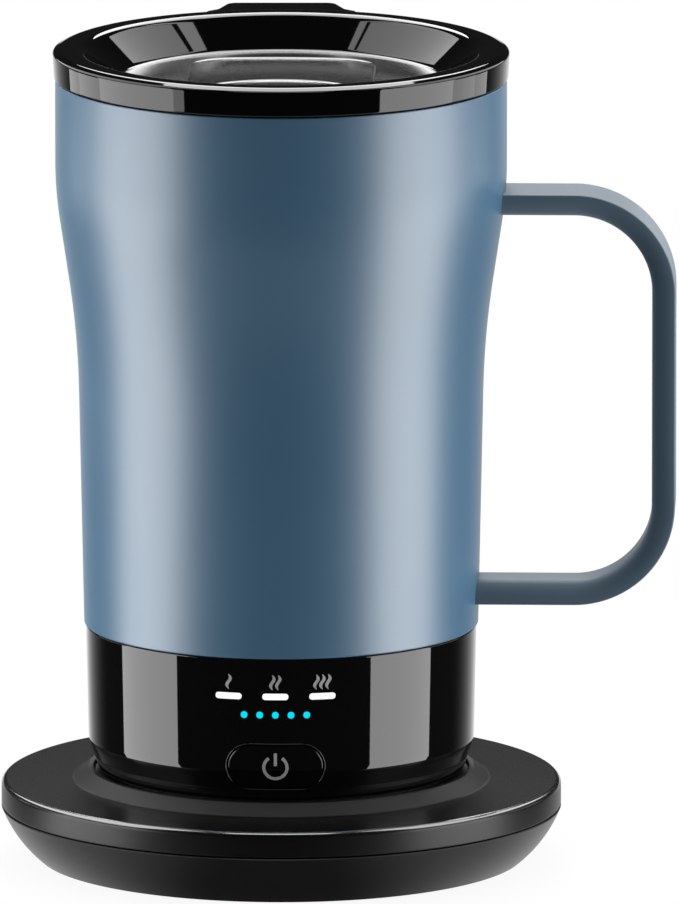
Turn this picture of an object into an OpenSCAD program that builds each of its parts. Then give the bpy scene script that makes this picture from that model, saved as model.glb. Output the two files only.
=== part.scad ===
// Self-heating mug standing on its charging coaster.
// Millimetres, +Z up, display towards -Y, handle towards +X.
// The origin is on the mug's axis, on the table under the coaster.

/* [Mug shell] */
// Outer diameter at the rim
rim_d = 89.3; // [88:0.1:92]
// Outer diameter at the waist corner
waist_d = 80.5; // [79.8:0.1:82]
// Outer diameter at the lower edge
foot_d = 78.1; // [77.8:0.1:79.4]
// Height from the lower edge to the rim
shell_h = 109.4; // [106:0.1:125]
// Drop from the rim to the shoulder corner
shoulder_drop = 22.3; // [20:0.1:26]
// Height of the waist corner above the lower edge
waist_h = 58; // [54:0.1:60]
// Radius that rounds the shoulder
shoulder_round = 78; // [60:1:100]
// Radius that rounds the waist
waist_round = 173; // [120:1:190]
// Wall of the outer shell
shell_wall = 0.8; // [0.6:0.1:1]
// Chamfer on the shell's lower edge
shell_chamfer = 0.5; // [0.3:0.1:0.6]

/* [Liner and heater] */
// Air gap between the liner and the outer shell
wall_gap = 1.85; // [1.4:0.05:2.4]
// Wall of the liner
liner_wall = 0.7; // [0.5:0.1:1]
// Radius of the liner's inner bottom corner
liner_corner = 5; // [3:0.5:8]
// Depth of the rim flange that joins liner and shell
rim_flange = 1.2; // [0.8:0.1:2]
// Thickness of the heat spreader plate
spreader_t = 1.6; // [1:0.1:2.5]
// Diameter of the heat spreader plate
spreader_d = 58; // [46:1:60]
// Thickness of the heating film
film_t = 0.4; // [0.2:0.1:0.8]
// Margin of the spreader around the film
film_margin = 2; // [1:0.5:4]
// Air gap between the film and the insulation
film_gap = 0.4; // [0.3:0.1:0.8]
// Thickness of the insulation disc
insulation_t = 3.6; // [3:0.1:5]
// Diameter of the thermistor bead
thermistor_d = 3; // [2:0.5:4]
// Height of the thermistor bead
thermistor_h = 2; // [1.5:0.1:2.5]

/* [Handle] */
// Distance from the mug's axis to the handle's outer face
handle_reach = 78.1; // [70:0.1:86]
// Width of the handle band
handle_w = 13.5; // [10:0.1:16]
// Thickness of the handle band
handle_t = 4.4; // [3.6:0.1:5.5]
// Height from the lower outer face to the upper outer face
handle_h = 82.5; // [70:0.1:86]
// Drop from the rim to the handle's upper face
handle_drop = 22.1; // [16:0.1:24]
// Outer radius of the handle's two corners
handle_corner = 20; // [14:0.5:24]
// Rounding of the band's outer edges
handle_edge_out = 0.7; // [0.4:0.1:1.2]
// Rounding of the band's inner edges
handle_edge_in = 1.9; // [1:0.1:2.2]

/* [Base housing] */
// Height of the housing below the shell
base_h = 28.9; // [28.6:0.1:34]
// Step from the shell's edge in to the housing
base_setback = 0.35; // [0.2:0.05:0.8]
// Loss of radius from the housing's top to the bevel
base_taper = 0.5; // [0.2:0.1:0.8]
// Height of the bevel at the foot
bevel_h = 5.7; // [4:0.1:7]
// Loss of radius over the bevel
bevel_in = 1.9; // [1.4:0.1:2]
// Radius that rounds the top of the bevel
bevel_round = 6; // [3:0.5:9]
// Wall of the housing at the bevel
base_wall = 2.2; // [2.1:0.1:2.6]
// Height of the spigot glued inside the shell
spigot_h = 3.9; // [3:0.1:5]
// Width of the shelf that carries the insulation
shelf_w = 2.5; // [1.5:0.1:3]
// Thickness of that shelf
shelf_t = 1.2; // [0.8:0.1:1.6]
// Dark line between the housing and the shell
shell_line = 0.1; // [0.05:0.05:0.3]

/* [Base cover] */
// Thickness of the cover's flange
cover_t = 1; // [1:0.1:1.4]
// Thickness of the lip clamped above the flange
lip_t = 0.8; // [0.6:0.1:1]
// Width of that lip
lip_w = 1.4; // [1.2:0.1:1.6]
// How far the rubber foot ring stands below the cover
foot_proud = 0.8; // [0.6:0.1:1.2]
// Width of the rubber foot ring
foot_w = 5.2; // [5:0.1:6]
// Step from the housing's inner wall in to the cover's opening
opening_step = 0.1; // [0.05:0.05:0.2]
// Width of the sealing ring
seal_w = 0.7; // [0.5:0.1:0.8]
// Height of the sealing ring
seal_h = 0.6; // [0.4:0.1:0.7]

/* [Cells and boards] */
// Diameter of a battery cell
cell_d = 18.3; // [17:0.1:18.4]
// Length of a battery cell
cell_l = 50; // [44:0.5:50]
// Gap between the two cells
cell_gap = 0.9; // [0.6:0.1:1]
// Gap between the cells and the control board
cell_head = 1; // [0.6:0.1:1.6]
// Thickness of the welded cell tabs
tab_t = 0.3; // [0.2:0.05:0.5]
// Width of the welded cell tabs
tab_w = 28; // [24:0.5:32]
// Height of the welded cell tabs
tab_h = 9; // [6:0.5:12]
// Width of the tabs' tails up to the control board
tail_w = 4.6; // [3:0.1:6]
// Thickness of the chassis floor
chassis_floor_t = 1.6; // [1.5:0.1:2]
// Diameter of the chassis posts
post_d = 6; // [5.5:0.1:6.4]
// Distance of the posts' axes from the housing's inner wall
post_inset = 4.2; // [4:0.1:4.4]
// Height of the cradle ribs above the chassis floor
cradle_h = 6.5; // [4:0.5:8]
// Thickness of a cradle rib
cradle_t = 4; // [3:0.5:6]
// Spacing of the two cradle ribs
cradle_pitch = 28; // [20:1:34]
// Reach of the control board past the posts' axes
board_lap = 1.2; // [1:0.1:1.5]
// Gap between the display board and the flats behind it
flat_gap = 0.7; // [0.4:0.1:1]
// Thickness of every circuit board
board_t = 1.6; // [1:0.1:1.6]
// Diameter of the leads
lead_d = 1.2; // [0.8:0.1:1.3]

/* [Display] */
// Length of a heat level window
bar_l = 5.5; // [4:0.1:6.5]
// Height of a heat level window
bar_w = 1.47; // [1.2:0.01:2]
// Spacing of the heat level windows
bar_pitch = 9.25; // [8:0.05:10]
// Height of the heat level windows above the housing's lower edge
bar_z = 21.3; // [20.8:0.1:22]
// Diameter of a charge window
dot_d = 1.55; // [1.2:0.05:1.8]
// Spacing of the charge windows
dot_pitch = 3.09; // [2.9:0.01:3.4]
// Height of the charge windows above the housing's lower edge
dot_z = 17.6; // [17:0.1:18]
// Number of heat levels
bar_count = 3; // [3]
// Number of charge windows
dot_count = 5; // [5]
// Width of the display board
display_w = 32; // [28:0.5:32]
// Gap from the display board's front corners forward to the housing's wall
display_gap = 1; // [0.7:0.1:1.2]
// Room around a window in the light shroud
shroud_room = 0.5; // [0.3:0.1:0.6]
// Margin of the light shroud above and below the windows
shroud_margin = 2; // [1.4:0.1:2.2]
// Height of a light source
led_h = 1; // [0.6:0.1:1.2]
// Thickness of a light source
led_t = 0.7; // [0.5:0.1:0.9]

/* [Button] */
// Width of the button
button_w = 18.9; // [16:0.1:20]
// Height of the button
button_h = 8.8; // [7.6:0.1:9]
// Height of the button's centre above the housing's lower edge
button_z = 7; // [6.9:0.1:7.4]
// Travel of the button
button_travel = 0.5; // [0.3:0.05:0.6]
// Gap around the button
button_gap = 0.3; // [0.2:0.05:0.4]
// Reach of the retaining ears past the button's ends
ear_l = 1.5; // [1:0.1:2]
// Thickness of the retaining ears
ear_t = 1; // [0.8:0.1:1.1]
// Height of the retaining ears
ear_h = 7.8; // [6:0.1:8.4]
// Side of the square switch body
switch_w = 6; // [5:0.1:6.2]
// Height of the switch body above the display board
switch_h = 1.2; // [1:0.1:1.3]
// Width of the rubber frame around the switch
switch_frame_w = 0.7; // [0.5:0.1:0.9]
// Diameter of the switch plunger
plunger_d = 3; // [2:0.1:3.4]
// Length of the switch plunger
plunger_l = 1.25; // [1:0.05:1.3]
// Floor of the switch under its plunger
plunger_floor = 0.2; // [0.1:0.05:0.25]

/* [Lid] */
// How far the lid stands out past the shell's rim
lid_overhang = 0.55; // [0.3:0.05:1]
// Height of the lid's outer band
lid_h = 5.6; // [5:0.1:7]
// Loss of radius down the outer band
lid_draft = 0.3; // [0.1:0.1:0.5]
// Width of the flat land on top
lid_land = 5.7; // [4:0.1:6.2]
// Diameter of the lid's floor
lid_floor_d = 64; // [63.6:0.1:68]
// Depth of the floor below the land
lid_depth = 6.3; // [5.6:0.1:7]
// Wall of the lid's cone and floor
lid_wall = 2.2; // [1.8:0.1:2.5]
// Rounding of the lid's top edges
lid_round = 0.7; // [0.4:0.1:0.9]
// Depth of the plug below the outer band
plug_h = 9.3; // [8.5:0.1:12]
// Gap between the plug and the liner
plug_gap = 1; // [0.8:0.1:1.4]
// Wall of the plug
plug_wall = 2; // [1.8:0.1:2.2]
// Height of the gasket
gasket_h = 2.4; // [2:0.1:3]
// Depth of the gasket's groove in the plug
gasket_groove = 1; // [0.6:0.1:1.2]
// Half width of the thumb tab at its outer edge
thumb_tab_w = 10.6; // [8:0.1:12]
// Spread of the tab's root on each side
thumb_tab_spread = 2.2; // [1.5:0.1:3]
// Reach of the tab past the lid's edge
thumb_tab_reach = 4.4; // [3:0.1:6]
// Thickness of the tab
thumb_tab_t = 2.6; // [2:0.1:3.5]
// Rounding of the tab's outline
thumb_tab_round = 2.4; // [1.5:0.1:2.6]

/* [Slider] */
// Width of the slider
slider_w = 36.8; // [32:0.1:37]
// Length of the slider
slider_l = 46.8; // [45:0.1:47.5]
// Distance from the mug's axis back to the slider's rear end
slider_back = 20.8; // [20:0.1:21]
// Corner radius of the slider
slider_corner = 9; // [8.5:0.1:10]
// Radius of the slider's bowed ends
slider_bow = 75; // [60:1:78]
// How far a bowed end's corner point stands past the corners
slider_bow_rise = 2.2; // [1.8:0.1:2.3]
// Thickness of the slider
slider_t = 2; // [1.8:0.1:2.4]
// Gap between the slider and the lid's floor
slider_gap = 0.3; // [0.2:0.05:0.4]
// Travel of the slider
slider_travel = 8.5; // [7.5:0.1:8.8]
// Radius of the thumb dish's two arcs
dish_arc = 18.4; // [16:0.1:20]
// Length of the thumb dish
dish_l = 15; // [12:0.5:16]
// Depth of the thumb dish
dish_depth = 0.7; // [0.4:0.1:0.9]
// Width of the sip slot
sip_w = 16; // [12:0.5:18]
// Length of the sip slot
sip_l = 6; // [5:0.1:6.4]
// Distance from the mug's axis forward to the sip slot's centre
sip_y = 21; // [20.6:0.1:21.2]
// Margin of the slider's seal around the sip slot
sip_margin = 1.5; // [1:0.1:1.6]
// Depth of the seal's pocket in the slider
slider_seal_pocket = 0.8; // [0.5:0.1:0.9]
// Gap between the slider's seal and the lid's floor
slider_seal_gap = 0.1; // [0.05:0.05:0.15]
// Width of the slider's leg
leg_w = 8; // [6:0.1:10]
// Length of the slider's leg
leg_l = 5; // [4:0.1:6]
// Distance from the mug's axis forward to the leg's centre
leg_y = 2; // [0:0.1:3]
// Overlap of the retainer past the leg on each side
retainer_lap = 4; // [3:0.1:5]
// Thickness of the retainer
retainer_t = 1.6; // [1.2:0.1:2]

/* [Coaster] */
// Diameter of the coaster
coaster_d = 111; // [108:0.5:116]
// Height of the disc's upper face
disc_z = 15.7; // [15.4:0.1:18]
// Height of the seam between the two halves
seam_z = 10.4; // [10.2:0.1:10.8]
// Width of the seam
seam_gap = 0.2; // [0.1:0.05:0.3]
// Diameter of the bowl's lower edge
bowl_foot_d = 96.4; // [94:0.2:98]
// Radius of the bowl's side
bowl_round = 24.5; // [18:0.5:40]
// Wall of the coaster
coaster_wall = 2; // [1.8:0.1:2.4]
// Rounding of the disc's upper edge
disc_round = 1.2; // [0.6:0.1:1.6]
// Height of the plinth above the disc
plinth_h = 2.4; // [2:0.1:3]
// Run of the plinth's slope
plinth_run = 2.9; // [2:0.1:4]
// Width of the plinth's top
plinth_top = 1; // [0.8:0.1:1.6]
// Gap between the housing's foot and the seat's wall
seat_clear = 0.6; // [0.5:0.1:1]
// Depth of the seat below the plinth's top
seat_depth = 0.8; // [0.7:0.1:0.9]
// Slope of the seat's wall
seat_draft = 0.3; // [0.1:0.1:0.5]
// Thickness of the seat
seat_t = 2.2; // [2:0.1:2.4]
// Height at which the mug's foot ring stands over the seat
seat_gap = 0.1; // [0.05:0.05:0.2]
// Depth of the spigot below the seam
coaster_spigot_h = 1.8; // [1.4:0.1:2]
// Thickness of the coaster's floor
coaster_floor_t = 2.4; // [2.2:0.1:2.8]
// Thickness of the foot pad
pad_t = 1.6; // [1.2:0.1:1.8]
// How far the foot pad stands below the bowl
pad_proud = 0.2; // [0.1:0.05:0.4]
// Rim of the bowl around the foot pad
pad_inset = 2; // [1.5:0.1:3]
// Pitch radius of the coaster's screws
coaster_screw_r = 44.5; // [44:0.1:44.7]
// Diameter of the coaster's circuit board
coaster_board_d = 80; // [70:1:81]
// Height of the stand-offs under that board
standoff_h = 0.6; // [0.4:0.1:0.8]

/* [Power inlet] */
// Width of the socket's metal shell
socket_w = 9; // [8.9:0.02:9.2]
// Height of the socket's metal shell
socket_h = 3.2; // [3.1:0.02:3.3]
// Depth of the socket
socket_l = 7.3; // [6.5:0.1:8]
// Wall of the socket's metal shell
socket_wall = 0.3; // [0.2:0.05:0.35]
// Setback of the socket's mouth from the coaster's widest edge
socket_set = 2.1; // [1.9:0.1:2.4]
// Thickness of the socket's back
socket_back = 1; // [0.6:0.1:1.5]
// Width of the socket's tongue
tongue_w = 6.7; // [6:0.1:7]
// Thickness of the socket's tongue
tongue_t = 0.7; // [0.6:0.1:0.8]
// Setback of the tongue from the socket's mouth
tongue_set = 1; // [0.6:0.1:1.4]
// Room beside the socket in the spigot and on the board
socket_room = 1; // [0.6:0.1:1.5]

/* [Contacts] */
// Radius at which the inner pin touches
inner_contact_r = 5; // [4.8:0.1:5.4]
// Radius at which the outer pin touches
outer_contact_r = 11; // [10.8:0.1:12]
// Width of a contact ring
ring_w = 3.6; // [3:0.1:3.8]
// Thickness of a contact ring
ring_t = 0.7; // [0.5:0.1:0.8]
// Diameter of a contact ring's stem
stem_d = 1.6; // [1.2:0.1:2]
// Diameter of a contact pin
pin_d = 2; // [1.6:0.1:2.2]
// Diameter of a contact pin's collar
collar_d = 3.5; // [3.2:0.1:3.6]
// Thickness of a contact pin's collar
collar_t = 1; // [0.8:0.1:1.2]
// Floor of the pin holder under the springs
holder_floor = 1; // [0.6:0.1:1.4]
// Thickness of the pin holder over the collars
holder_lid = 0.8; // [0.6:0.1:1]
// Wall of the pin holder around its bores
holder_wall = 1.5; // [1:0.1:2]
// Travel of a contact pin
pin_travel = 0.8; // [0.5:0.1:0.9]
// Gap between a pin's tip and its ring
pin_gap = 0.3; // [0.2:0.05:0.4]
// Wire of a pin's spring
spring_wire = 0.5; // [0.4:0.05:0.5]
// Turns of a pin's spring
spring_turns = 6; // [4:1:6]

/* [Screws and fits] */
// Diameter of the screws' threads
screw_d = 2.4; // [2:0.1:2.5]
// Diameter of the screws' heads
screw_head_d = 4.6; // [4.2:0.1:4.8]
// Height of the screws' heads
screw_head_h = 0.9; // [0.7:0.1:1]
// Threaded length of the screws
screw_l = 8; // [6:0.5:9]
// Clearance around a thread or a lead
thread_clear = 0.1; // [0.05:0.05:0.15]
// Clearance around a screw's head
head_clear = 0.3; // [0.2:0.05:0.4]
// Clearance between pieces that are put together by hand
fit = 0.3; // [0.2:0.05:0.35]
// Gap between faces that stop just short of each other
short_gap = 0.1; // [0.05:0.05:0.15]
// Clearance of glued and pressed pieces
glue = 0.05; // [0.02:0.01:0.1]

/* [Hidden] */
$fn = 64;
// Widest turn, in degrees, and longest step of a rounded outline
arc_step = 15;
arc_length = 4;
// Small overlap that lets a cut pass right through a face
past = 1;

// Heights from the table up
bowl_z = pad_proud;
coaster_floor_z = pad_t + coaster_floor_t;
coaster_board_z = coaster_floor_z + standoff_h;
coaster_board_top = coaster_board_z + board_t;
plinth_z = disc_z + plinth_h;
seat_z = plinth_z - seat_depth;
foot_z = seat_z + seat_gap;
base_z = foot_z + foot_proud;
lip_z = base_z + cover_t;
chassis_z = lip_z + lip_t;
chassis_top = chassis_z + chassis_floor_t;
cell_z = chassis_top + fit + cell_d / 2;
board_z = cell_z + cell_d / 2 + cell_head;
board_top = board_z + board_t;
shell_z = base_z + base_h;
shelf_z = shell_z - shell_line;
insulation_top = shelf_z + insulation_t;
film_z = insulation_top + film_gap;
spreader_z = film_z + film_t;
liner_z = spreader_z + spreader_t;
waist_z = shell_z + waist_h;
rim_z = shell_z + shell_h;
shoulder_z = rim_z - shoulder_drop;
lid_z = rim_z + fit;
lid_top = lid_z + lid_h;
lid_floor_z = lid_top - lid_depth;
plug_z = lid_z - plug_h;
slider_z = lid_floor_z + slider_gap;

// Distance from a circle's centre to its chord of the given half length
function chord_y(r, half) = sqrt(r * r - half * half);

// Radii of the mug
rim_r = rim_d / 2;
waist_r = waist_d / 2;
foot_r = foot_d / 2;
liner_in = shell_wall + wall_gap;
liner_bore_r = rim_r - liner_in - liner_wall;
base_top_r = foot_r - base_setback;
bevel_r = base_top_r - base_taper;
base_foot_r = bevel_r - bevel_in;
house_r = bevel_r - base_wall;
opening_r = house_r - opening_step;
lip_r = house_r - lip_w;
chassis_r = house_r - fit;
post_r = house_r - post_inset;
post_at = post_r * cos(45);
spigot_r = foot_r - shell_wall - glue;
board_r = post_r + board_lap;

// Display and button, as distances forward from the mug's axis
display_reach = chord_y(house_r, display_w / 2) - display_gap;
display_back = display_reach - board_t;
flat_y = display_back - flat_gap;
bars_z = base_z + bar_z;
dots_z = base_z + dot_z;
button_mid_z = base_z + button_z;
windows_half_x = (bar_count - 1) / 2 * bar_pitch + bar_l / 2;
lens_reach = chord_y(house_r, windows_half_x);
shroud_z = dots_z - dot_d / 2 - shroud_margin;
shroud_top = bars_z + bar_w / 2 + shroud_margin;
switch_reach = display_reach + switch_h;
button_back = switch_reach + button_travel + fit;
switch_frame_in = switch_w / 2 + fit;
switch_frame_out = switch_frame_in + switch_frame_w;
front_reach = foot_r + past;

// Radii of the lid
lid_r = rim_r + lid_overhang;
lid_mouth_r = lid_r - lid_land;
lid_floor_r = lid_floor_d / 2;
plug_r = liner_bore_r - plug_gap;
plug_bore_r = plug_r - plug_wall;
cone_slope = (lid_mouth_r - lid_floor_r) / lid_depth;
floor_under_z = lid_floor_z - lid_wall;
floor_under_r = lid_floor_r - lid_wall / 3;
cone_under_z = floor_under_z + (plug_bore_r - floor_under_r) / cone_slope;
gasket_z = (plug_z + lid_z - gasket_h) / 2;
slider_front = slider_back - slider_l;
leg_slot_l = leg_l + slider_travel + 2 * fit;
leg_slot_y = slider_travel / 2 - leg_y;

// Radii of the coaster
coaster_r = coaster_d / 2;
bowl_foot_r = bowl_foot_d / 2;
coaster_in_r = coaster_r - coaster_wall;
coaster_spigot_r = coaster_in_r - fit;
skirt_z = seam_z + seam_gap;
coaster_spigot_z = skirt_z - coaster_spigot_h;
seat_r = base_foot_r + seat_clear;
plinth_top_r = seat_r + seat_draft + plinth_top;
plinth_foot_r = plinth_top_r + plinth_run;
seat_under_z = seat_z - seat_t;
disc_under_z = disc_z - coaster_wall;
pad_r = bowl_foot_r - pad_inset;
coaster_screw_angles = [-90, 30, 150];

// Contact pins and their holder
pin_tip_z = base_z - pin_gap;
holder_top = seat_under_z - short_gap;
collar_top = holder_top - holder_lid - short_gap;
collar_z = collar_top - collar_t;
spring_z = coaster_board_top + holder_floor;
spring_r = (collar_d - spring_wire) / 2;
pin_bore_r = collar_d / 2 + fit;
pin_spots = [inner_contact_r, -outer_contact_r];

// Outlines with rounded corners

function unit(v) = v / norm(v);

function flat(p) = [p[0], p[1]];

// Points of the arc of radius r that rounds the corner b between a and c
function corner_arc(a, b, c, r) =
    r == 0 ? [b] :
    let (
        u = unit(a - b),
        v = unit(c - b),
        half = acos(u * v) / 2,
        centre = b + unit(u + v) * r / sin(half),
        p = b + u * r / tan(half) - centre,
        q = b + v * r / tan(half) - centre,
        start = atan2(p[1], p[0]),
        swing = atan2(q[1], q[0]) - start,
        sweep = swing > 180 ? swing - 360 : swing < -180 ? swing + 360 : swing,
        steps = max(2, ceil(abs(sweep) / arc_step), ceil(abs(sweep) * PI / 180 * r / arc_length))
    )
    [for (i = [0:steps]) centre + r * [cos(start + sweep * i / steps), sin(start + sweep * i / steps)]];

// Closed outline through corners given as [x, y, radius]
function rounded(corners) =
    let (n = len(corners))
    [for (i = [0:n - 1]) each corner_arc(
        flat(corners[(i + n - 1) % n]), flat(corners[i]), flat(corners[(i + 1) % n]), corners[i][2])];

// Points of the arc of radius r from p to q that bulges to the right of p to q
function bulge(p, q, r) =
    let (
        d = q - p,
        side = [-d[1], d[0]] / norm(d),
        centre = (p + q) / 2 + side * sqrt(r * r - d * d / 4),
        start = atan2(p[1] - centre[1], p[0] - centre[0]),
        sweep = 2 * asin(norm(d) / 2 / r),
        steps = ceil(sweep / arc_step * 3)
    )
    [for (i = [0:steps]) centre + r * [cos(start + sweep * i / steps), sin(start + sweep * i / steps)]];

module revolve(outline) {
    rotate_extrude() polygon(outline);
}

module ring(outer, inner, z, h) {
    translate([0, 0, z]) difference() {
        cylinder(r = outer, h = h);
        translate([0, 0, -past]) cylinder(r = inner, h = h + 2 * past);
    }
}

module disc(r, z, h) {
    translate([0, 0, z]) cylinder(r = r, h = h);
}

// Flat shape with round ends
module pill(w, h) {
    square([w - h, h], center = true);
    for (side = [-1, 1]) translate([side * (w - h) / 2, 0]) circle(d = h);
}

// Prism of a flat shape that faces forward, between two distances from the axis
module forward(z, near, far) {
    translate([0, 0, z]) rotate([90, 0, 0]) translate([0, 0, near])
        linear_extrude(far - near) children();
}

// Round bar along X
module bar_x(r, x0, x1, y, z) {
    translate([x0, y, z]) rotate([0, 90, 0]) cylinder(r = r, h = x1 - x0);
}

module block(x0, x1, y0, y1, z0, z1) {
    translate([x0, y0, z0]) cube([x1 - x0, y1 - y0, z1 - z0]);
}

// Children copied to the four posts of the base chassis
module at_posts() {
    for (x = [-post_at, post_at]) for (y = [-post_at, post_at]) translate([x, y, 0]) children();
}

// Children copied to the coaster's screw places
module at_coaster_screws() {
    for (a = coaster_screw_angles) rotate(a) translate([coaster_screw_r, 0, 0]) children();
}

// Screw with its head's upper face at z and its thread pointing up
module screw_up(z) {
    disc(screw_head_d / 2, z - screw_head_h, screw_head_h);
    disc(screw_d / 2, z, screw_l);
}

// Mug shell, liner and handle

// Radius of the outer shell's tapered lower wall at height z
function lower_r(z) = foot_r + (waist_r - foot_r) * (z - shell_z) / waist_h;

// Outer corners of the shell, moved inwards by a distance
function wall_corners(inset, bottom) = [
    [lower_r(bottom) - inset, bottom, 0],
    [waist_r - inset, waist_z, waist_round + inset],
    [rim_r - inset, shoulder_z, shoulder_round - inset]
];

function reversed(list) = [for (i = [len(list) - 1:-1:0]) list[i]];

// Solid form that the handle's ends are cut to, carried straight down to the housing's foot
module shell_envelope() {
    revolve(rounded(concat(
        [[0, base_z, 0], [foot_r, base_z, 0]],
        wall_corners(0, shell_z),
        [[rim_r, rim_z, 0], [0, rim_z, 0]])));
}

module outer_shell() {
    outer = wall_corners(0, shell_z);
    color("steelblue") revolve(rounded(concat(
        [[foot_r - shell_chamfer, shell_z, 0], [foot_r, shell_z + shell_chamfer, 0]],
        [outer[1], outer[2]],
        [[rim_r, rim_z, 0], [rim_r - shell_wall, rim_z, 0]],
        reversed(wall_corners(shell_wall, shell_z)))));
}

module inner_liner() {
    outer = wall_corners(liner_in, liner_z);
    inner = wall_corners(liner_in + liner_wall, liner_z + liner_wall);
    color("silver") revolve(rounded(concat(
        [[0, liner_z, 0], [outer[0][0], liner_z, liner_corner + liner_wall]],
        [outer[1], outer[2]],
        [[rim_r - liner_in, rim_z - rim_flange, 0]],
        [[rim_r - shell_wall, rim_z - rim_flange, 0], [rim_r - shell_wall, rim_z, 0]],
        [[liner_bore_r, rim_z, liner_wall]],
        [inner[2], inner[1]],
        [[inner[0][0], liner_z + liner_wall, liner_corner], [0, liner_z + liner_wall, 0]])));
}

// Section of the handle band, at its distance from a corner's centre
module handle_section() {
    half = handle_w / 2;
    near = handle_corner - handle_t;
    polygon(rounded([
        [near, -half, handle_edge_in],
        [handle_corner, -half, handle_edge_out],
        [handle_corner, half, handle_edge_out],
        [near, half, handle_edge_in]]));
}

module handle() {
    middle_x = handle_reach - handle_corner;
    upper_z = rim_z - handle_drop - handle_corner;
    straight = handle_h - 2 * handle_corner;
    color("steelblue") difference() {
        translate([middle_x, 0, upper_z]) rotate([90, 0, 0]) {
            rotate_extrude(angle = 90) handle_section();
            rotate(90) translate([0, middle_x, 0]) rotate([90, 0, 0])
                linear_extrude(middle_x) handle_section();
            rotate([90, 0, 0]) linear_extrude(straight) handle_section();
            translate([0, -straight, 0]) rotate(-90) {
                rotate_extrude(angle = 90) handle_section();
                rotate([90, 0, 0]) linear_extrude(middle_x) handle_section();
            }
        }
        shell_envelope();
    }
}

// Heater under the liner

module heat_spreader() {
    color("gainsboro") disc(spreader_d / 2, spreader_z, spreader_t);
}

module heating_film() {
    color("darkorange") disc(spreader_d / 2 - film_margin, film_z, film_t);
}

module thermistor() {
    color("black") disc(thermistor_d / 2, film_z - thermistor_h, thermistor_h);
}

// Places of the heater's two leads
heater_lead_at = [[14, -12], [-14, -12]];

module insulation_disc() {
    color("ivory") difference() {
        disc(chassis_r, shelf_z, insulation_t);
        disc(thermistor_d / 2 + 2 * fit, shelf_z - past, insulation_t + 2 * past);
        for (at = heater_lead_at) translate(at)
            disc(lead_d / 2 + fit, shelf_z - past, insulation_t + 2 * past);
    }
}

module heater_leads() {
    color("white") {
        for (at = heater_lead_at) translate(at) disc(lead_d / 2, board_top, film_z - board_top);
        disc(lead_d / 2, board_top, film_z - thermistor_h - board_top);
    }
}

// Base housing with its display and button

// Solid form of the housing's outside, which the windows and the button are cut to
module base_envelope() {
    revolve(rounded([
        [0, base_z, 0],
        [base_foot_r, base_z, 0],
        [bevel_r, base_z + bevel_h, bevel_round],
        [base_top_r, shelf_z, 0],
        [0, shelf_z, 0]]));
}

module level_outlines(grow) {
    for (i = [0:bar_count - 1])
        translate([(i - (bar_count - 1) / 2) * bar_pitch, 0]) pill(bar_l + 2 * grow, bar_w + 2 * grow);
}

module charge_outlines(grow) {
    for (i = [0:dot_count - 1])
        translate([(i - (dot_count - 1) / 2) * dot_pitch, 0]) circle(d = dot_d + 2 * grow);
}

module base_housing() {
    color("black") difference() {
        revolve(rounded([
            [opening_r, base_z, 0],
            [base_foot_r, base_z, 0],
            [bevel_r, base_z + bevel_h, bevel_round],
            [base_top_r, shelf_z, 0],
            [spigot_r, shelf_z, 0],
            [spigot_r, shelf_z + spigot_h, 0],
            [house_r, shelf_z + spigot_h, 0],
            [house_r, shelf_z, 0],
            [house_r - shelf_w, shelf_z, 0],
            [house_r - shelf_w, shelf_z - shelf_t, 0],
            [house_r, shelf_z - shelf_t, 0],
            [house_r, chassis_z, 0],
            [lip_r, chassis_z, 0],
            [lip_r, lip_z, 0],
            [opening_r, lip_z, 0]]));
        forward(bars_z, lens_reach, front_reach) level_outlines(glue);
        forward(dots_z, lens_reach, front_reach) charge_outlines(glue);
        forward(button_mid_z, button_back, front_reach)
            pill(button_w + 2 * button_gap, button_h + 2 * button_gap);
    }
}

module level_lenses() {
    color("white") intersection() {
        forward(bars_z, lens_reach, front_reach) level_outlines(0);
        base_envelope();
    }
}

module charge_lenses() {
    color("cyan") intersection() {
        forward(dots_z, lens_reach, front_reach) charge_outlines(0);
        base_envelope();
    }
}

module light_shroud() {
    color("dimgray") difference() {
        intersection() {
            disc(house_r, shroud_z, shroud_top - shroud_z);
            block(-display_w / 2, display_w / 2, -front_reach, -display_reach, shroud_z, shroud_top);
        }
        forward(bars_z, 0, front_reach) level_outlines(shroud_room);
        forward(dots_z, 0, front_reach) charge_outlines(shroud_room);
    }
}

module display_board() {
    color("darkgreen")
        block(-display_w / 2, display_w / 2, -display_reach, -display_back,
            button_mid_z - switch_frame_out, shroud_top);
}

// Square light source on the display board
module led(x, z, w, h, thick) {
    forward(z, display_reach, display_reach + thick)
        translate([x, 0]) square([w, h], center = true);
}

module display_leds() {
    color("lightyellow") {
        for (i = [0:bar_count - 1])
            led((i - (bar_count - 1) / 2) * bar_pitch, bars_z, bar_l / 2, led_h, led_t);
        for (i = [0:dot_count - 1])
            led((i - (dot_count - 1) / 2) * dot_pitch, dots_z, led_h, led_h, led_t);
    }
}

module tact_switch() {
    color("dimgray") difference() {
        forward(button_mid_z, display_reach, switch_reach) square(switch_w, center = true);
        forward(button_mid_z, display_reach + plunger_floor, switch_reach + past)
            circle(d = plunger_d + 2 * fit);
    }
}

module button_seal() {
    color("gray") forward(button_mid_z, display_reach, switch_reach - short_gap) difference() {
        square(2 * switch_frame_out, center = true);
        square(2 * switch_frame_in, center = true);
    }
}

module button_cap() {
    color("black") {
        intersection() {
            forward(button_mid_z, button_back, front_reach) pill(button_w, button_h);
            base_envelope();
        }
        intersection() {
            forward(button_mid_z, button_back, button_back + ear_t)
                square([button_w + 2 * ear_l, ear_h], center = true);
            disc(house_r - short_gap, button_mid_z - ear_h, 2 * ear_h);
        }
    }
}

module switch_plunger() {
    color("whitesmoke") forward(button_mid_z, button_back - plunger_l, button_back)
        circle(d = plunger_d);
}

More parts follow.
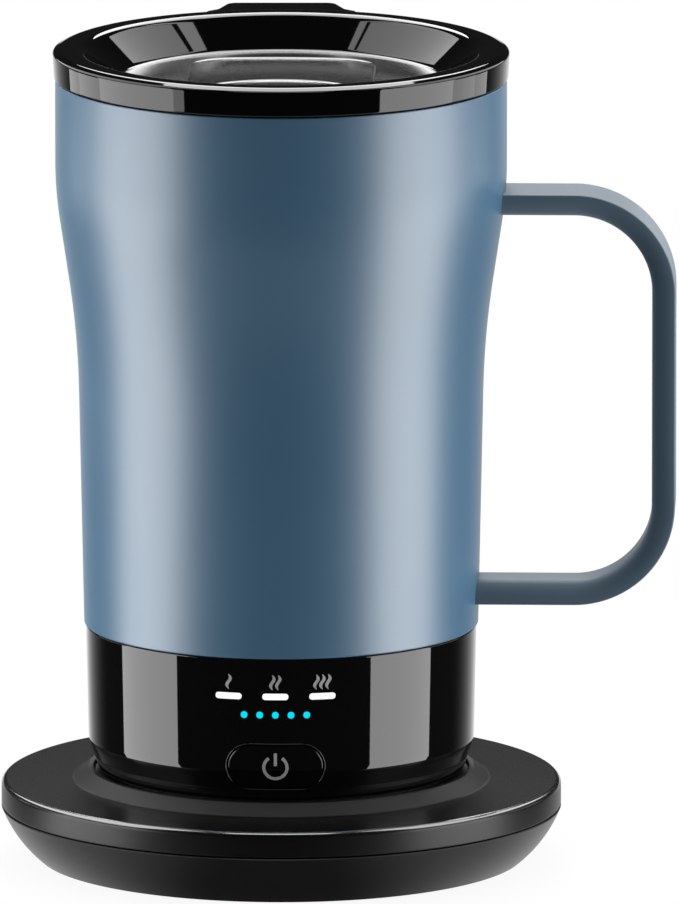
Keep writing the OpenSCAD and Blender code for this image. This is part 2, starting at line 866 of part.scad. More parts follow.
// Chassis, cells and control board

// Children copied to the axes of the two cells
module at_cells() {
    for (side = [-1, 1]) translate([0, side * (cell_d + cell_gap) / 2, cell_z]) children();
}

module base_chassis() {
    rib_half_y = cell_d + cell_gap / 2;
    channel_w = lead_d + 4 * fit;
    color("darkslategray") difference() {
        union() {
            disc(chassis_r, chassis_z, chassis_floor_t);
            at_posts() disc(post_d / 2, chassis_z, board_z - chassis_z);
            for (side = [-1, 1])
                block(side * cradle_pitch / 2 - cradle_t / 2, side * cradle_pitch / 2 + cradle_t / 2,
                    -rib_half_y, rib_half_y, chassis_top - glue, chassis_top + cradle_h);
        }
        at_cells() rotate([0, 90, 0]) cylinder(d = cell_d + fit, h = 2 * cell_l, center = true);
        block(-house_r, house_r, -house_r, -flat_y, chassis_z - past, board_z);
        block(-house_r, house_r, -channel_w / 2, channel_w / 2, chassis_z - past, chassis_top);
        at_posts() {
            disc(screw_d / 2 + thread_clear, chassis_z - past, screw_l + past);
            disc(screw_d / 2 + thread_clear, board_z - screw_l, screw_l + past);
        }
    }
}

module battery_cells() {
    color("royalblue") at_cells() rotate([0, 90, 0]) cylinder(d = cell_d, h = cell_l, center = true);
}

module battery_tabs() {
    color("silver") for (side = [0, 1]) mirror([side, 0, 0]) {
        block(cell_l / 2, cell_l / 2 + tab_t, -tab_w / 2, tab_w / 2,
            cell_z - tab_h / 2, cell_z + tab_h / 2);
        block(cell_l / 2, cell_l / 2 + tab_t, -tail_w / 2, tail_w / 2, cell_z, board_z);
    }
}

module control_board() {
    color("darkgreen") difference() {
        disc(board_r, board_z, board_t);
        block(-house_r, house_r, -house_r, -flat_y, board_z - past, board_top + past);
        at_posts() disc(screw_d / 2 + thread_clear, board_z - past, board_t + 2 * past);
    }
}

// Places and sizes of the chips on the control board: centre x, centre y, width, length, height
chips = [
    [7.5, 7.5, 7, 7, 1], [-11, 6, 6, 6, 1.8], [-3.5, 16, 5, 4, 1],
    [7, -20, 4, 4, 1], [-10, -20, 5, 5, 1.8]
];

// Chips standing on a board whose upper face is at z
module chip_set(list, z) {
    for (chip = list) translate([chip[0] - chip[2] / 2, chip[1] - chip[3] / 2, z])
        cube([chip[2], chip[3], chip[4]]);
}

module board_components() {
    color("dimgray") chip_set(chips, board_top);
}

module board_screws() {
    at_posts() translate([0, 0, board_top]) mirror([0, 0, 1]) screw_up(0);
}

module contact_leads() {
    lead_r = lead_d / 2;
    run_z = chassis_z + lead_r + short_gap;
    out_x = chassis_r - 4 * lead_r;
    color("firebrick") for (i = [0, 1]) {
        start_x = pin_spots[i];
        side = sign(start_x);
        translate([start_x, 0, 0]) disc(lead_r, chassis_z, run_z - chassis_z);
        bar_x(lead_r, min(start_x, side * out_x), max(start_x, side * out_x), 0, run_z);
        translate([start_x, 0, run_z]) sphere(r = lead_r);
        translate([side * out_x, 0, run_z]) sphere(r = lead_r);
        translate([side * out_x, 0, 0]) disc(lead_r, run_z, board_z - run_z);
    }
}

// Cover that closes the housing from below

module base_cover() {
    color("black") difference() {
        union() {
            disc(opening_r - fit, base_z, cover_t);
            disc(lip_r - fit, base_z, cover_t + lip_t - short_gap);
        }
        ring(lip_r + seal_w + fit / 2, lip_r + fit / 2, lip_z - seal_h, seal_h + past);
        at_posts() {
            disc(screw_head_d / 2 + head_clear, base_z - past, past + screw_head_h + short_gap);
            disc(screw_d / 2 + thread_clear, base_z - past, 2 * past + cover_t + lip_t);
        }
        for (r = [inner_contact_r, outer_contact_r])
            ring(r + ring_w / 2, r - ring_w / 2, base_z - past, past + ring_t);
        for (x = pin_spots) translate([x, 0, 0])
            disc(stem_d / 2 + thread_clear, base_z, cover_t + lip_t + past);
    }
}

module base_seal() {
    color("gray") ring(lip_r + seal_w + fit / 2, lip_r + fit / 2, lip_z - seal_h, seal_h);
}

module base_cover_screws() {
    color("silver") at_posts() screw_up(base_z + screw_head_h + short_gap);
}

module contact_rings() {
    color("gold") {
        for (r = [inner_contact_r, outer_contact_r]) ring(r + ring_w / 2, r - ring_w / 2, base_z, ring_t);
        for (x = pin_spots) translate([x, 0, 0]) disc(stem_d / 2, base_z, chassis_z - base_z);
    }
}

module foot_ring() {
    color("dimgray") ring(post_r + foot_w / 2, post_r - foot_w / 2, foot_z, foot_proud);
}

// Lid and its slider

module lid_form() {
    revolve(rounded([
        [0, lid_floor_z, 0],
        [lid_floor_r, lid_floor_z, lid_round],
        [lid_mouth_r, lid_top, lid_round],
        [lid_r, lid_top, lid_round],
        [lid_r - lid_draft, lid_z, lid_draft],
        [plug_r, lid_z, 0],
        [plug_r, plug_z, lid_round],
        [plug_bore_r, plug_z, 0],
        [plug_bore_r, cone_under_z, 0],
        [floor_under_r, floor_under_z, 0],
        [0, floor_under_z, 0]]));
}

module thumb_tab() {
    root = thumb_tab_w + thumb_tab_spread;
    root_y = sqrt(lid_r * lid_r - root * root) + thumb_tab_round / 2;
    edge_y = lid_r + thumb_tab_reach;
    inner_y = lid_r - lid_land / 2;
    translate([0, 0, lid_top - thumb_tab_t]) linear_extrude(thumb_tab_t) polygon(rounded([
        [-root - thumb_tab_spread, root_y - thumb_tab_spread, 0],
        [-root, root_y, thumb_tab_round],
        [-thumb_tab_w, edge_y, thumb_tab_round],
        [thumb_tab_w, edge_y, thumb_tab_round],
        [root, root_y, thumb_tab_round],
        [root + thumb_tab_spread, root_y - thumb_tab_spread, 0],
        [0, inner_y, 0]]));
}

module lid_body() {
    color("black") difference() {
        union() {
            lid_form();
            thumb_tab();
        }
        ring(plug_r + past, plug_r - gasket_groove, gasket_z, gasket_h);
        translate([0, leg_slot_y, floor_under_z - past]) linear_extrude(lid_wall + 2 * past)
            square([leg_w + 2 * fit, leg_slot_l], center = true);
        translate([0, -sip_y, floor_under_z - past]) linear_extrude(lid_wall + 2 * past)
            pill(sip_w, sip_l);
    }
}

module lid_gasket() {
    color("gray") revolve(rounded([
        [plug_r - gasket_groove, gasket_z + glue, 0],
        [plug_r, gasket_z + glue, 0],
        [liner_bore_r - fit, gasket_z + gasket_h / 2, gasket_h / 4],
        [plug_r, gasket_z + gasket_h - glue, 0],
        [plug_r - gasket_groove, gasket_z + gasket_h - glue, 0]]));
}

module slider_plate() {
    half_w = slider_w / 2;
    slope = atan(slider_bow_rise / half_w);
    tip = slider_bow * (1 / cos(slope) - 1);
    back_y = slider_back + tip;
    front_y = slider_front - tip;
    translate([0, 0, slider_z]) linear_extrude(slider_t) polygon(rounded([
        [-half_w, front_y + slider_bow_rise, slider_corner],
        [0, front_y, slider_bow],
        [half_w, front_y + slider_bow_rise, slider_corner],
        [half_w, back_y - slider_bow_rise, slider_corner],
        [0, back_y, slider_bow],
        [-half_w, back_y - slider_bow_rise, slider_corner]]));
}

module slider() {
    retainer_top = floor_under_z - slider_gap;
    dish_z = slider_z + slider_t - dish_depth;
    color("black") {
        difference() {
            slider_plate();
            intersection() {
                translate([0, -dish_arc, 0]) disc(dish_arc, dish_z, slider_t);
                translate([0, dish_arc - dish_l, 0]) disc(dish_arc, dish_z, slider_t);
            }
            translate([0, -sip_y, slider_z - past]) linear_extrude(past + slider_seal_pocket)
                pill(sip_w + 2 * sip_margin, sip_l + 2 * sip_margin);
        }
        block(-leg_w / 2, leg_w / 2, -leg_y - leg_l / 2, -leg_y + leg_l / 2, retainer_top, slider_z + glue);
    }
}

module slider_retainer() {
    retainer_top = floor_under_z - slider_gap;
    half_w = leg_w / 2 + retainer_lap;
    half_l = leg_l / 2 + retainer_lap;
    color("dimgray") block(-half_w, half_w, -leg_y - half_l, -leg_y + half_l,
        retainer_top - retainer_t, retainer_top);
}

module slider_seal() {
    color("gray") translate([0, -sip_y, lid_floor_z + slider_seal_gap])
        linear_extrude(slider_gap - slider_seal_gap + slider_seal_pocket)
            pill(sip_w + 2 * sip_margin - 2 * glue, sip_l + 2 * sip_margin - 2 * glue);
}

// Charging coaster

module coaster_top() {
    color("black") difference() {
        union() {
            revolve(rounded([
                [0, seat_z, 0],
                [seat_r, seat_z, 0],
                [seat_r + seat_draft, plinth_z, seat_draft],
                [plinth_top_r, plinth_z, plinth_top / 3],
                [plinth_foot_r, disc_z, plinth_top],
                [coaster_r, disc_z, disc_round],
                [coaster_r, skirt_z, 0],
                [coaster_spigot_r, skirt_z, 0],
                [coaster_spigot_r, coaster_spigot_z, 0],
                [coaster_spigot_r - coaster_wall, coaster_spigot_z, 0],
                [coaster_spigot_r - coaster_wall, disc_under_z, 0],
                [plinth_top_r, disc_under_z, 0],
                [plinth_top_r - seat_t, seat_under_z, 0],
                [0, seat_under_z, 0]]));
            at_coaster_screws() disc(post_d / 2, coaster_floor_z, disc_under_z + glue - coaster_floor_z);
        }
        at_coaster_screws() disc(screw_d / 2 + thread_clear, coaster_floor_z - past, screw_l + past);
        for (x = pin_spots) translate([x, 0, 0])
            disc(pin_d / 2 + fit, seat_under_z - past, seat_t + 2 * past);
        block(-socket_half_x, socket_half_x, 0, coaster_spigot_r + fit / 2,
            coaster_spigot_z - past, skirt_z);
    }
}

// Height of the power socket's centre, and half the room that the pieces around it leave
socket_z = coaster_board_top + socket_h / 2;
socket_half_x = socket_w / 2 + socket_room;

module coaster_base() {
    color("black") difference() {
        union() {
            revolve(concat(
                [[pad_r + fit, bowl_z]],
                bulge([bowl_foot_r, bowl_z], [coaster_r, seam_z], bowl_round),
                [[coaster_in_r, seam_z], [coaster_in_r, coaster_spigot_z - fit]],
                [[bowl_foot_r, coaster_floor_z], [0, coaster_floor_z]],
                [[0, pad_t], [pad_r + fit, pad_t]]));
            for (a = [0:90:270]) rotate(a + 45) translate([coaster_board_d / 2 - post_d, 0, 0])
                disc(post_d / 2, coaster_floor_z - glue, standoff_h + glue);
        }
        at_coaster_screws() {
            disc(screw_head_d / 2 + head_clear, pad_t - past, past + screw_head_h + short_gap);
            disc(screw_d / 2 + thread_clear, pad_t - past, coaster_floor_t + 2 * past);
        }
        translate([0, coaster_r + past, socket_z]) rotate([90, 0, 0])
            linear_extrude(coaster_r + past - bowl_foot_r)
                pill(socket_w + 2 * fit, socket_h + 2 * fit);
    }
}

module coaster_board() {
    color("darkgreen") difference() {
        union() {
            disc(coaster_board_d / 2, coaster_board_z, board_t);
            intersection() {
                disc(bowl_foot_r - fit, coaster_board_z, board_t);
                block(-socket_half_x, socket_half_x, 0, coaster_r, coaster_board_z, coaster_board_top);
            }
        }
        at_coaster_screws() disc(post_d / 2 + fit, coaster_board_z - past, board_t + 2 * past);
    }
}

// Places and sizes of the chips on the coaster's board: centre x, centre y, width, length, height
coaster_chips = [
    [0, 30, 8, 8, 3], [11, 25, 6, 6, 1], [-12.5, 22.5, 5, 5, 1],
    [-20, -16, 4, 4, 3], [-13, -16, 4, 4, 3]
];

module coaster_components() {
    color("dimgray") chip_set(coaster_chips, coaster_board_top);
}

module usb_socket() {
    translate([0, coaster_r - socket_set, socket_z]) rotate([90, 0, 0]) color("silver") {
        difference() {
            linear_extrude(socket_l) pill(socket_w, socket_h);
            translate([0, 0, -past]) linear_extrude(past + socket_l - socket_back)
                pill(socket_w - 2 * socket_wall, socket_h - 2 * socket_wall);
        }
        translate([0, 0, tongue_set]) linear_extrude(socket_l - tongue_set - glue)
            square([tongue_w, tongue_t], center = true);
    }
}

module pin_holder() {
    half_w = pin_bore_r + holder_wall;
    color("whitesmoke") difference() {
        block(-outer_contact_r - half_w, inner_contact_r + half_w, -half_w, half_w,
            coaster_board_top, holder_top);
        for (x = pin_spots) translate([x, 0, 0]) {
            disc(pin_bore_r, spring_z, holder_top - holder_lid - spring_z);
            disc(pin_d / 2 + fit, spring_z, holder_top + past - spring_z);
        }
    }
}

module contact_pin(x) {
    color("gold") translate([x, 0, 0]) {
        disc(pin_d / 2, collar_z, pin_tip_z - collar_z);
        disc(collar_d / 2, collar_z, collar_t);
    }
}

module inner_pin() {
    contact_pin(pin_spots[0]);
}

module outer_pin() {
    contact_pin(pin_spots[1]);
}

// Round wire wound as a helix between the holder's floor and a pin's collar
module pin_spring(x) {
    sides = 6;
    per_turn = 8;
    wire_r = spring_wire / 2;
    low = spring_z + wire_r;
    rise = collar_z - spring_z - spring_wire;
    last = spring_turns * per_turn;
    points = [for (i = [0:last]) for (k = [0:sides - 1])
        let (
            turn = 360 * i / per_turn,
            out = spring_r + wire_r * cos(360 * k / sides)
        )
        [x + out * cos(turn), out * sin(turn), low + rise * i / last + wire_r * sin(360 * k / sides)]];
    walls = [for (i = [0:last - 1]) for (k = [0:sides - 1])
        let (
            a = i * sides + k,
            b = i * sides + (k + 1) % sides
        )
        each [[a, b, a + sides], [b, b + sides, a + sides]]];
    caps = [for (k = [1:sides - 2]) each [
        [0, k + 1, k],
        [last * sides, last * sides + k, last * sides + k + 1]]];
    color("silver") polyhedron(points, concat(walls, caps));
}

module inner_pin_spring() {
    pin_spring(pin_spots[0]);
}

module outer_pin_spring() {
    pin_spring(pin_spots[1]);
}

module coaster_screws() {
    color("silver") at_coaster_screws() screw_up(pad_t + screw_head_h + short_gap);
}

module foot_pad() {
    color("dimgray") disc(pad_r, 0, pad_t);
}

outer_shell();
inner_liner();
handle();
heat_spreader();
heating_film();
thermistor();
insulation_disc();
base_housing();
base_chassis();
battery_cells();
battery_tabs();
control_board();
board_components();
board_screws();
heater_leads();
contact_leads();
display_board();
display_leds();
light_shroud();
level_lenses();
charge_lenses();
tact_switch();
button_seal();
base_cover();
base_seal();
base_cover_screws();
contact_rings();
foot_ring();
button_cap();
switch_plunger();
lid_body();
lid_gasket();
slider();
slider_retainer();
slider_seal();
coaster_top();
coaster_base();
coaster_board();
coaster_components();
usb_socket();
pin_holder();
inner_pin();
outer_pin();
inner_pin_spring();
outer_pin_spring();
coaster_screws();
foot_pad();
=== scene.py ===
import math

import bpy
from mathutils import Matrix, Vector


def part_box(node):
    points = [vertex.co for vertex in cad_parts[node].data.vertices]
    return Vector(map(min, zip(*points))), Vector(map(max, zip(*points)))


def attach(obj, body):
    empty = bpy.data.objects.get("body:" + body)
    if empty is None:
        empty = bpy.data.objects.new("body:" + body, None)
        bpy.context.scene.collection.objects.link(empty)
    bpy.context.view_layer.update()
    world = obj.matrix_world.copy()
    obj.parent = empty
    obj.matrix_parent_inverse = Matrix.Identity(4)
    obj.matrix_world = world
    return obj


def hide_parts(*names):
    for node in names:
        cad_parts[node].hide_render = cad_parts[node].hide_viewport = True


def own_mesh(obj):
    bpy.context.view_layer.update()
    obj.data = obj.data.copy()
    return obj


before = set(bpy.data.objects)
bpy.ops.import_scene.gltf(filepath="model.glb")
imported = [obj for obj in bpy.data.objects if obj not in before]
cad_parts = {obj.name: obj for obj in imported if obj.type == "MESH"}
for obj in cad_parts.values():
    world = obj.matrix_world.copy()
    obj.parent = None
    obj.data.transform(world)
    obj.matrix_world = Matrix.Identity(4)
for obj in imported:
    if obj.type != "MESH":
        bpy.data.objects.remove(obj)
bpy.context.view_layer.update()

# Camera
# A long lens stands a little above the lid and a touch to the handle's side.
# The picture is 679 wide and 904 high, and its height takes in 179 mm at the mug.
MM = 0.001
picture_reach = 179 * MM
view_distance = 6.2
view_azimuth = math.radians(1.65)
view_elevation = math.radians(11.01)
aim_side = 11.54 * MM
aim_height = 81.2 * MM
sensor_width = 36
aim = Vector((aim_side * math.cos(view_azimuth), aim_side * math.sin(view_azimuth), aim_height))
level = math.cos(view_elevation)
back_to_camera = Vector((
    math.sin(view_azimuth) * level, -math.cos(view_azimuth) * level, math.sin(view_elevation)))
bpy.ops.object.camera_add(
    location=aim + back_to_camera * view_distance,
    rotation=(math.pi / 2 - view_elevation, 0, view_azimuth))
camera = bpy.context.object
camera.data.sensor_width = sensor_width
camera.data.lens = sensor_width * view_distance / picture_reach
bpy.context.scene.camera = camera
bpy.context.scene.view_settings.view_transform = "Standard"

# Table
# A round white table top, just larger than the coaster, that fades into the white surroundings.
# It is matt, so it keeps the coaster's soft shadow.
# Pieces that mirror it show it white at the sides and dim in the middle.
table_radius = 82 * MM
table_drop = 0.1 * MM
table_corners = 128
table_white = (0.86, 0.86, 0.86, 1)
fade_radius = 0.62 * table_radius
glow_near = 0.92
glow_mirrored = 0.9
glow_middle = 0.12
middle_half = 12 * MM
aside_half = 46 * MM
bpy.ops.mesh.primitive_circle_add(
    vertices=table_corners, radius=table_radius, fill_type="NGON", location=(0, 0, -table_drop))
table = bpy.context.object
table.name = "table"


def axes_of(tree, kind="Object"):
    """Adds nodes that split a place or a direction into its axes, and gives the three outputs."""
    axes = tree.nodes.new("ShaderNodeSeparateXYZ")
    place = tree.nodes.new("ShaderNodeTexCoord")
    tree.links.new(place.outputs[kind], axes.inputs[0])
    return axes.outputs


def arithmetic(tree, operation, *values):
    """Adds a node that reckons with outputs or plain numbers, and gives its result."""
    node = tree.nodes.new("ShaderNodeMath")
    node.operation = operation
    for socket, value in zip(node.inputs, values):
        if isinstance(value, bpy.types.NodeSocket):
            tree.links.new(value, socket)
        else:
            socket.default_value = value
    return node.outputs[0]


def from_axis(tree, axes):
    """Gives the distance of a place from the mug's axis."""
    squares = [arithmetic(tree, "MULTIPLY", axes[name], axes[name]) for name in ("X", "Y")]
    return arithmetic(tree, "SQRT", arithmetic(tree, "ADD", *squares))


def ramp(tree, value, low, high, start=0, end=1, curve="LINEAR"):
    """Turns an output that goes from low to high into one that goes from start to end."""
    node = tree.nodes.new("ShaderNodeMapRange")
    node.interpolation_type = curve
    for name, edge in (("From Min", low), ("From Max", high), ("To Min", start), ("To Max", end)):
        node.inputs[name].default_value = edge
    tree.links.new(value, node.inputs["Value"])
    return node.outputs["Result"]


def mixed(tree, share, first, second, end):
    """Mixes two shaders by a share and joins them to the node at the end."""
    mix = tree.nodes.new("ShaderNodeMixShader")
    for output, socket in zip((share, first.outputs[0], second.outputs[0]), mix.inputs):
        tree.links.new(output, socket)
    tree.links.new(mix.outputs[0], tree.nodes[end].inputs["Surface"])


table_paint = bpy.data.materials.new("table_white")
table_paint.use_nodes = True
tree = table_paint.node_tree
shader = tree.nodes["Principled BSDF"]
shader.inputs["Base Color"].default_value = table_white
shader.inputs["Roughness"].default_value = 1
shader.inputs["Specular IOR Level"].default_value = 0
glow = tree.nodes.new("ShaderNodeEmission")
path = tree.nodes.new("ShaderNodeLightPath").outputs
axes = axes_of(tree)
aside = arithmetic(tree, "ABSOLUTE", axes["X"])
glow_aside = ramp(tree, aside, middle_half, aside_half, glow_middle, curve="SMOOTHSTEP")
tree.links.new(arithmetic(tree, "MAXIMUM", path["Is Camera Ray"], glow_aside), glow.inputs["Strength"])
fade = ramp(tree, from_axis(tree, axes), fade_radius, table_radius, glow_near, curve="SMOOTHSTEP")
seen = arithmetic(tree, "MULTIPLY", path["Is Camera Ray"], fade)
mirrored = arithmetic(tree, "MAXIMUM", path["Is Glossy Ray"], path["Is Transmission Ray"])
mirrored_glow = arithmetic(tree, "MULTIPLY", mirrored, glow_mirrored)
mixed(tree, arithmetic(tree, "MAXIMUM", seen, mirrored_glow), shader, glow, "Material Output")
table.data.materials.append(table_paint)

# Lamps and surroundings
# Softbox panels and strips stand left and right, a large one hangs behind the mug and one over its front.
# The room is white behind and below the mug, and dark in front of it and overhead.
side_lamp_x = 300 * MM
room_fill = 0.19
room_mirrored = 0.02
room_white = (1, 1, 1, 1)
behind_from, behind_full, behind_power = 0.50, 0.95, 3
horizon_blur = 0.03
floor_from, floor_full = -0.45, -0.95


def softbox(name, width, height, centre, towards, radiance):
    """Adds a rectangular lamp that shines towards a point."""
    centre = Vector(centre)
    turn = (Vector(towards) - centre).to_track_quat("-Z", "Y").to_euler()
    bpy.ops.object.light_add(type="AREA", location=centre, rotation=turn)
    lamp = bpy.context.object
    lamp.name = name
    lamp.data.shape = "RECTANGLE"
    lamp.data.size = width
    lamp.data.size_y = height
    lamp.data.energy = radiance * math.pi * width * height
    lamp.visible_camera = False


# Each panel has its name, its front, back, lower and upper edge in metres, and its radiance.
left_panels = (
    ("left_low", -0.175, 0.062, -0.16, -0.005, 4.0),
    ("left_middle", -0.235, 0.04, -0.005, 0.15, 4.35),
    ("left_front", -0.285, -0.235, 0.04, 0.10, 2.6),
    ("left_rear", 0.04, 0.15, 0.076, 0.098, 2.9),
    ("left_back", 0.15, 0.24, 0.06, 0.092, 2.3),
    ("left_top", -0.15, 0.55, 0.22, 0.835, 2.4),
    ("left_strip", -0.15, 0.55, 0.862, 0.925, 2.6))
right_panels = (
    ("right_low", -0.22, 0.032, -0.16, -0.005, 4.0),
    ("right_middle", -0.245, 0.02, -0.005, 0.15, 4.4),
    ("right_rear", 0.02, 0.12, 0.076, 0.10, 2.9),
    ("right_back", 0.12, 0.21, 0.06, 0.094, 2.3),
    ("right_top", -0.15, 0.55, 0.22, 0.735, 2.4),
    ("right_strip", -0.15, 0.55, 0.765, 0.87, 3.0))
for side, panels in ((-1, left_panels), (1, right_panels)):
    for name, front, back, low, high, radiance in panels:
        centre = Vector((side * side_lamp_x, (front + back) / 2, (low + high) / 2))
        softbox(name, back - front, high - low, centre, centre - Vector((side, 0, 0)), radiance)
softbox(
    "back_lamp", width=0.46, height=0.73, centre=(-0.012, 0.743, 0.829), towards=(0, 0, 0.16), radiance=6)
softbox(
    "high_lamp", width=0.5, height=0.32, centre=(0, -0.278, 0.956), towards=(0, 0, 0.1), radiance=3)

world = bpy.data.worlds.new("studio")
bpy.context.scene.world = world
world.use_nodes = True
tree = world.node_tree
dim = tree.nodes["Background"]
white = tree.nodes.new("ShaderNodeBackground")
for background in (dim, white):
    background.inputs["Color"].default_value = room_white
path = tree.nodes.new("ShaderNodeLightPath").outputs
tree.links.new(ramp(tree, path["Is Glossy Ray"], 0, 1, room_fill, room_mirrored), dim.inputs["Strength"])
axes = axes_of(tree, "Generated")
behind = arithmetic(tree, "POWER", ramp(tree, axes["Y"], behind_from, behind_full), behind_power)
below = ramp(tree, axes["Z"], horizon_blur, -horizon_blur)
floor = ramp(tree, axes["Z"], floor_from, floor_full)
backdrop = arithmetic(tree, "MAXIMUM", arithmetic(tree, "MULTIPLY", behind, below), floor)
mirrored = arithmetic(tree, "MAXIMUM", path["Is Glossy Ray"], path["Is Transmission Ray"])
mirrored_backdrop = arithmetic(tree, "MULTIPLY", mirrored, backdrop)
mixed(
    tree, arithmetic(tree, "MAXIMUM", path["Is Camera Ray"], mirrored_backdrop), dim, white, "World Output")

# Foot pad
# A disc of black silicone foam glued into the underside of the coaster.
# It is die cut from sheet, so it keeps the sheet's fine open grain.
grain_detail = 3
cloud_scale = 60
grain_sockets = (
    ("Grain scale", "INPUT"), ("Cloud scale", "INPUT"), ("Height", "OUTPUT"), ("Cloud", "OUTPUT"))
grain = bpy.data.node_groups.new("surface_grain", "ShaderNodeTree")
for name, way in grain_sockets:
    grain.interface.new_socket(name, in_out=way, socket_type="NodeSocketFloat")
given = grain.nodes.new("NodeGroupInput")
result = grain.nodes.new("NodeGroupOutput")
place = grain.nodes.new("ShaderNodeTexCoord")
for scale, out in (("Grain scale", "Height"), ("Cloud scale", "Cloud")):
    noise = grain.nodes.new("ShaderNodeTexNoise")
    noise.inputs["Detail"].default_value = grain_detail
    grain.links.new(place.outputs["Object"], noise.inputs["Vector"])
    grain.links.new(given.outputs[scale], noise.inputs["Scale"])
    grain.links.new(noise.outputs["Fac"], result.inputs[out])


def finish(name, colour, roughness, tone=0.1, uneven=0.04, grain_size=0.3, relief=0.004, **sockets):
    """Makes a surface with slightly uneven colour and gloss and a fine grain, with sizes in millimetres."""
    material = bpy.data.materials.new(name)
    material.use_nodes = True
    tree = material.node_tree
    shader = tree.nodes["Principled BSDF"]
    texture = tree.nodes.new("ShaderNodeGroup")
    texture.node_tree = grain
    texture.inputs["Grain scale"].default_value = 1 / (grain_size * MM)
    texture.inputs["Cloud scale"].default_value = cloud_scale
    cloud = texture.outputs["Cloud"]
    blend = tree.nodes.new("ShaderNodeMix")
    blend.data_type = "RGBA"
    blend.inputs["A"].default_value = [c * (1 - tone) for c in colour] + [1]
    blend.inputs["B"].default_value = [c * (1 + tone) for c in colour] + [1]
    tree.links.new(cloud, blend.inputs["Factor"])
    tree.links.new(blend.outputs["Result"], shader.inputs["Base Color"])
    gloss = ramp(tree, cloud, 0, 1, roughness - uneven, roughness + uneven)
    tree.links.new(gloss, shader.inputs["Roughness"])
    bump = tree.nodes.new("ShaderNodeBump")
    bump.inputs["Strength"].default_value = 1
    bump.inputs["Distance"].default_value = relief * MM
    tree.links.new(texture.outputs["Height"], bump.inputs["Height"])
    tree.links.new(bump.outputs["Normal"], shader.inputs["Normal"])
    for socket, value in sockets.items():
        shader.inputs[socket.replace("_", " ")].default_value = value
    return material


def dress(material, *nodes):
    """Gives solids of the frame their surface."""
    for node in nodes:
        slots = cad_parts[node].data.materials
        slots.clear()
        slots.append(material)


dress(finish("pad_foam", (0.012, 0.012, 0.013), 0.8, grain_size=0.4, relief=0.02), "foot_pad")

# Coaster bowl
# The lower half of the coaster, moulded in black plastic with a fine spark texture.
# Its side is one bulging arc, and a slot at the back lets the plug in.
coaster_low, coaster_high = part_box("coaster_base")
coaster_radius = coaster_high.x
bowl_foot_radius = 48.2 * MM
bowl_round = 24.5 * MM
bowl_wall = 2 * MM
bowl_floor = 4 * MM
spigot_rebate = 8.5 * MM
pad_recess_radius = 46.5 * MM
pad_recess_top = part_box("foot_pad")[1].z
edge_round = 0.25 * MM
inlet_room = 0.6 * MM
inlet_depth = 10 * MM
arc_turn = math.radians(8)
smooth_turn = math.radians(32)
merge_reach = 0.001 * MM
turn_steps = 256
pill_steps = 64


def arc(centre, start, stop, step):
    """Points from start to stop on the circle round the centre, at most a step apart."""
    begin, end = start - centre, stop - centre
    steps = max(3, math.ceil(begin.angle(end) / arc_turn), math.ceil((stop - start).length / step))
    return [centre + begin.slerp(end, i / steps).normalized() * begin.length for i in range(steps + 1)]


def bulge(start, stop, radius, step=1.0 * MM):
    """Points of the arc from start to stop that bulges to the right of the way from one to the other."""
    start, stop = Vector(start), Vector(stop)
    way = stop - start
    side = Vector((-way.y, way.x)).normalized()
    centre = (start + stop) / 2 + side * math.sqrt(radius ** 2 - way.length_squared / 4)
    return arc(centre, start, stop, step)


def draw(name, points, lift):
    """Draws a closed outline of edges through flat points, which lift turns into places."""
    bpy.ops.object.select_all(action="DESELECT")
    bpy.ops.mesh.primitive_plane_add(size=MM)
    piece = bpy.context.object
    piece.name = name
    bpy.ops.object.mode_set(mode="EDIT")
    bpy.ops.mesh.select_all(action="SELECT")
    bpy.ops.mesh.merge(type="CENTER")
    places = [lift(p) for p in points]
    bpy.ops.transform.translate(value=places[0])
    for here, there in zip(places, places[1:] + places[:1]):
        bpy.ops.mesh.extrude_region_move(TRANSFORM_OT_translate={"value": there - here})
    bpy.ops.mesh.select_all(action="SELECT")
    bpy.ops.mesh.remove_doubles(threshold=merge_reach)
    return piece


def close_up():
    """Ends the work on a mesh: merges doubles, turns the faces outwards and smooths the round stretches."""
    bpy.ops.mesh.select_all(action="SELECT")
    bpy.ops.mesh.remove_doubles(threshold=merge_reach)
    bpy.ops.mesh.normals_make_consistent(inside=False)
    bpy.ops.object.mode_set(mode="OBJECT")
    bpy.ops.object.shade_smooth_by_angle(angle=smooth_turn)


def turned(name, outline, steps=turn_steps):
    """Turns an outline round the mug's axis, as on a lathe."""
    piece = draw(name, outline, lambda p: Vector((p.x, 0, p.y)))
    bpy.ops.mesh.spin(steps=steps, angle=2 * math.pi, center=(0, 0, 0), axis=(0, 0, 1))
    close_up()
    return piece


def select_places(piece, wanted):
    """Selects the points of a mesh in edit mode whose place is wanted."""
    bpy.ops.mesh.select_all(action="DESELECT")
    bpy.ops.object.mode_set(mode="OBJECT")
    for vertex in piece.data.vertices:
        vertex.select = wanted(vertex.co)
    bpy.ops.object.mode_set(mode="EDIT")


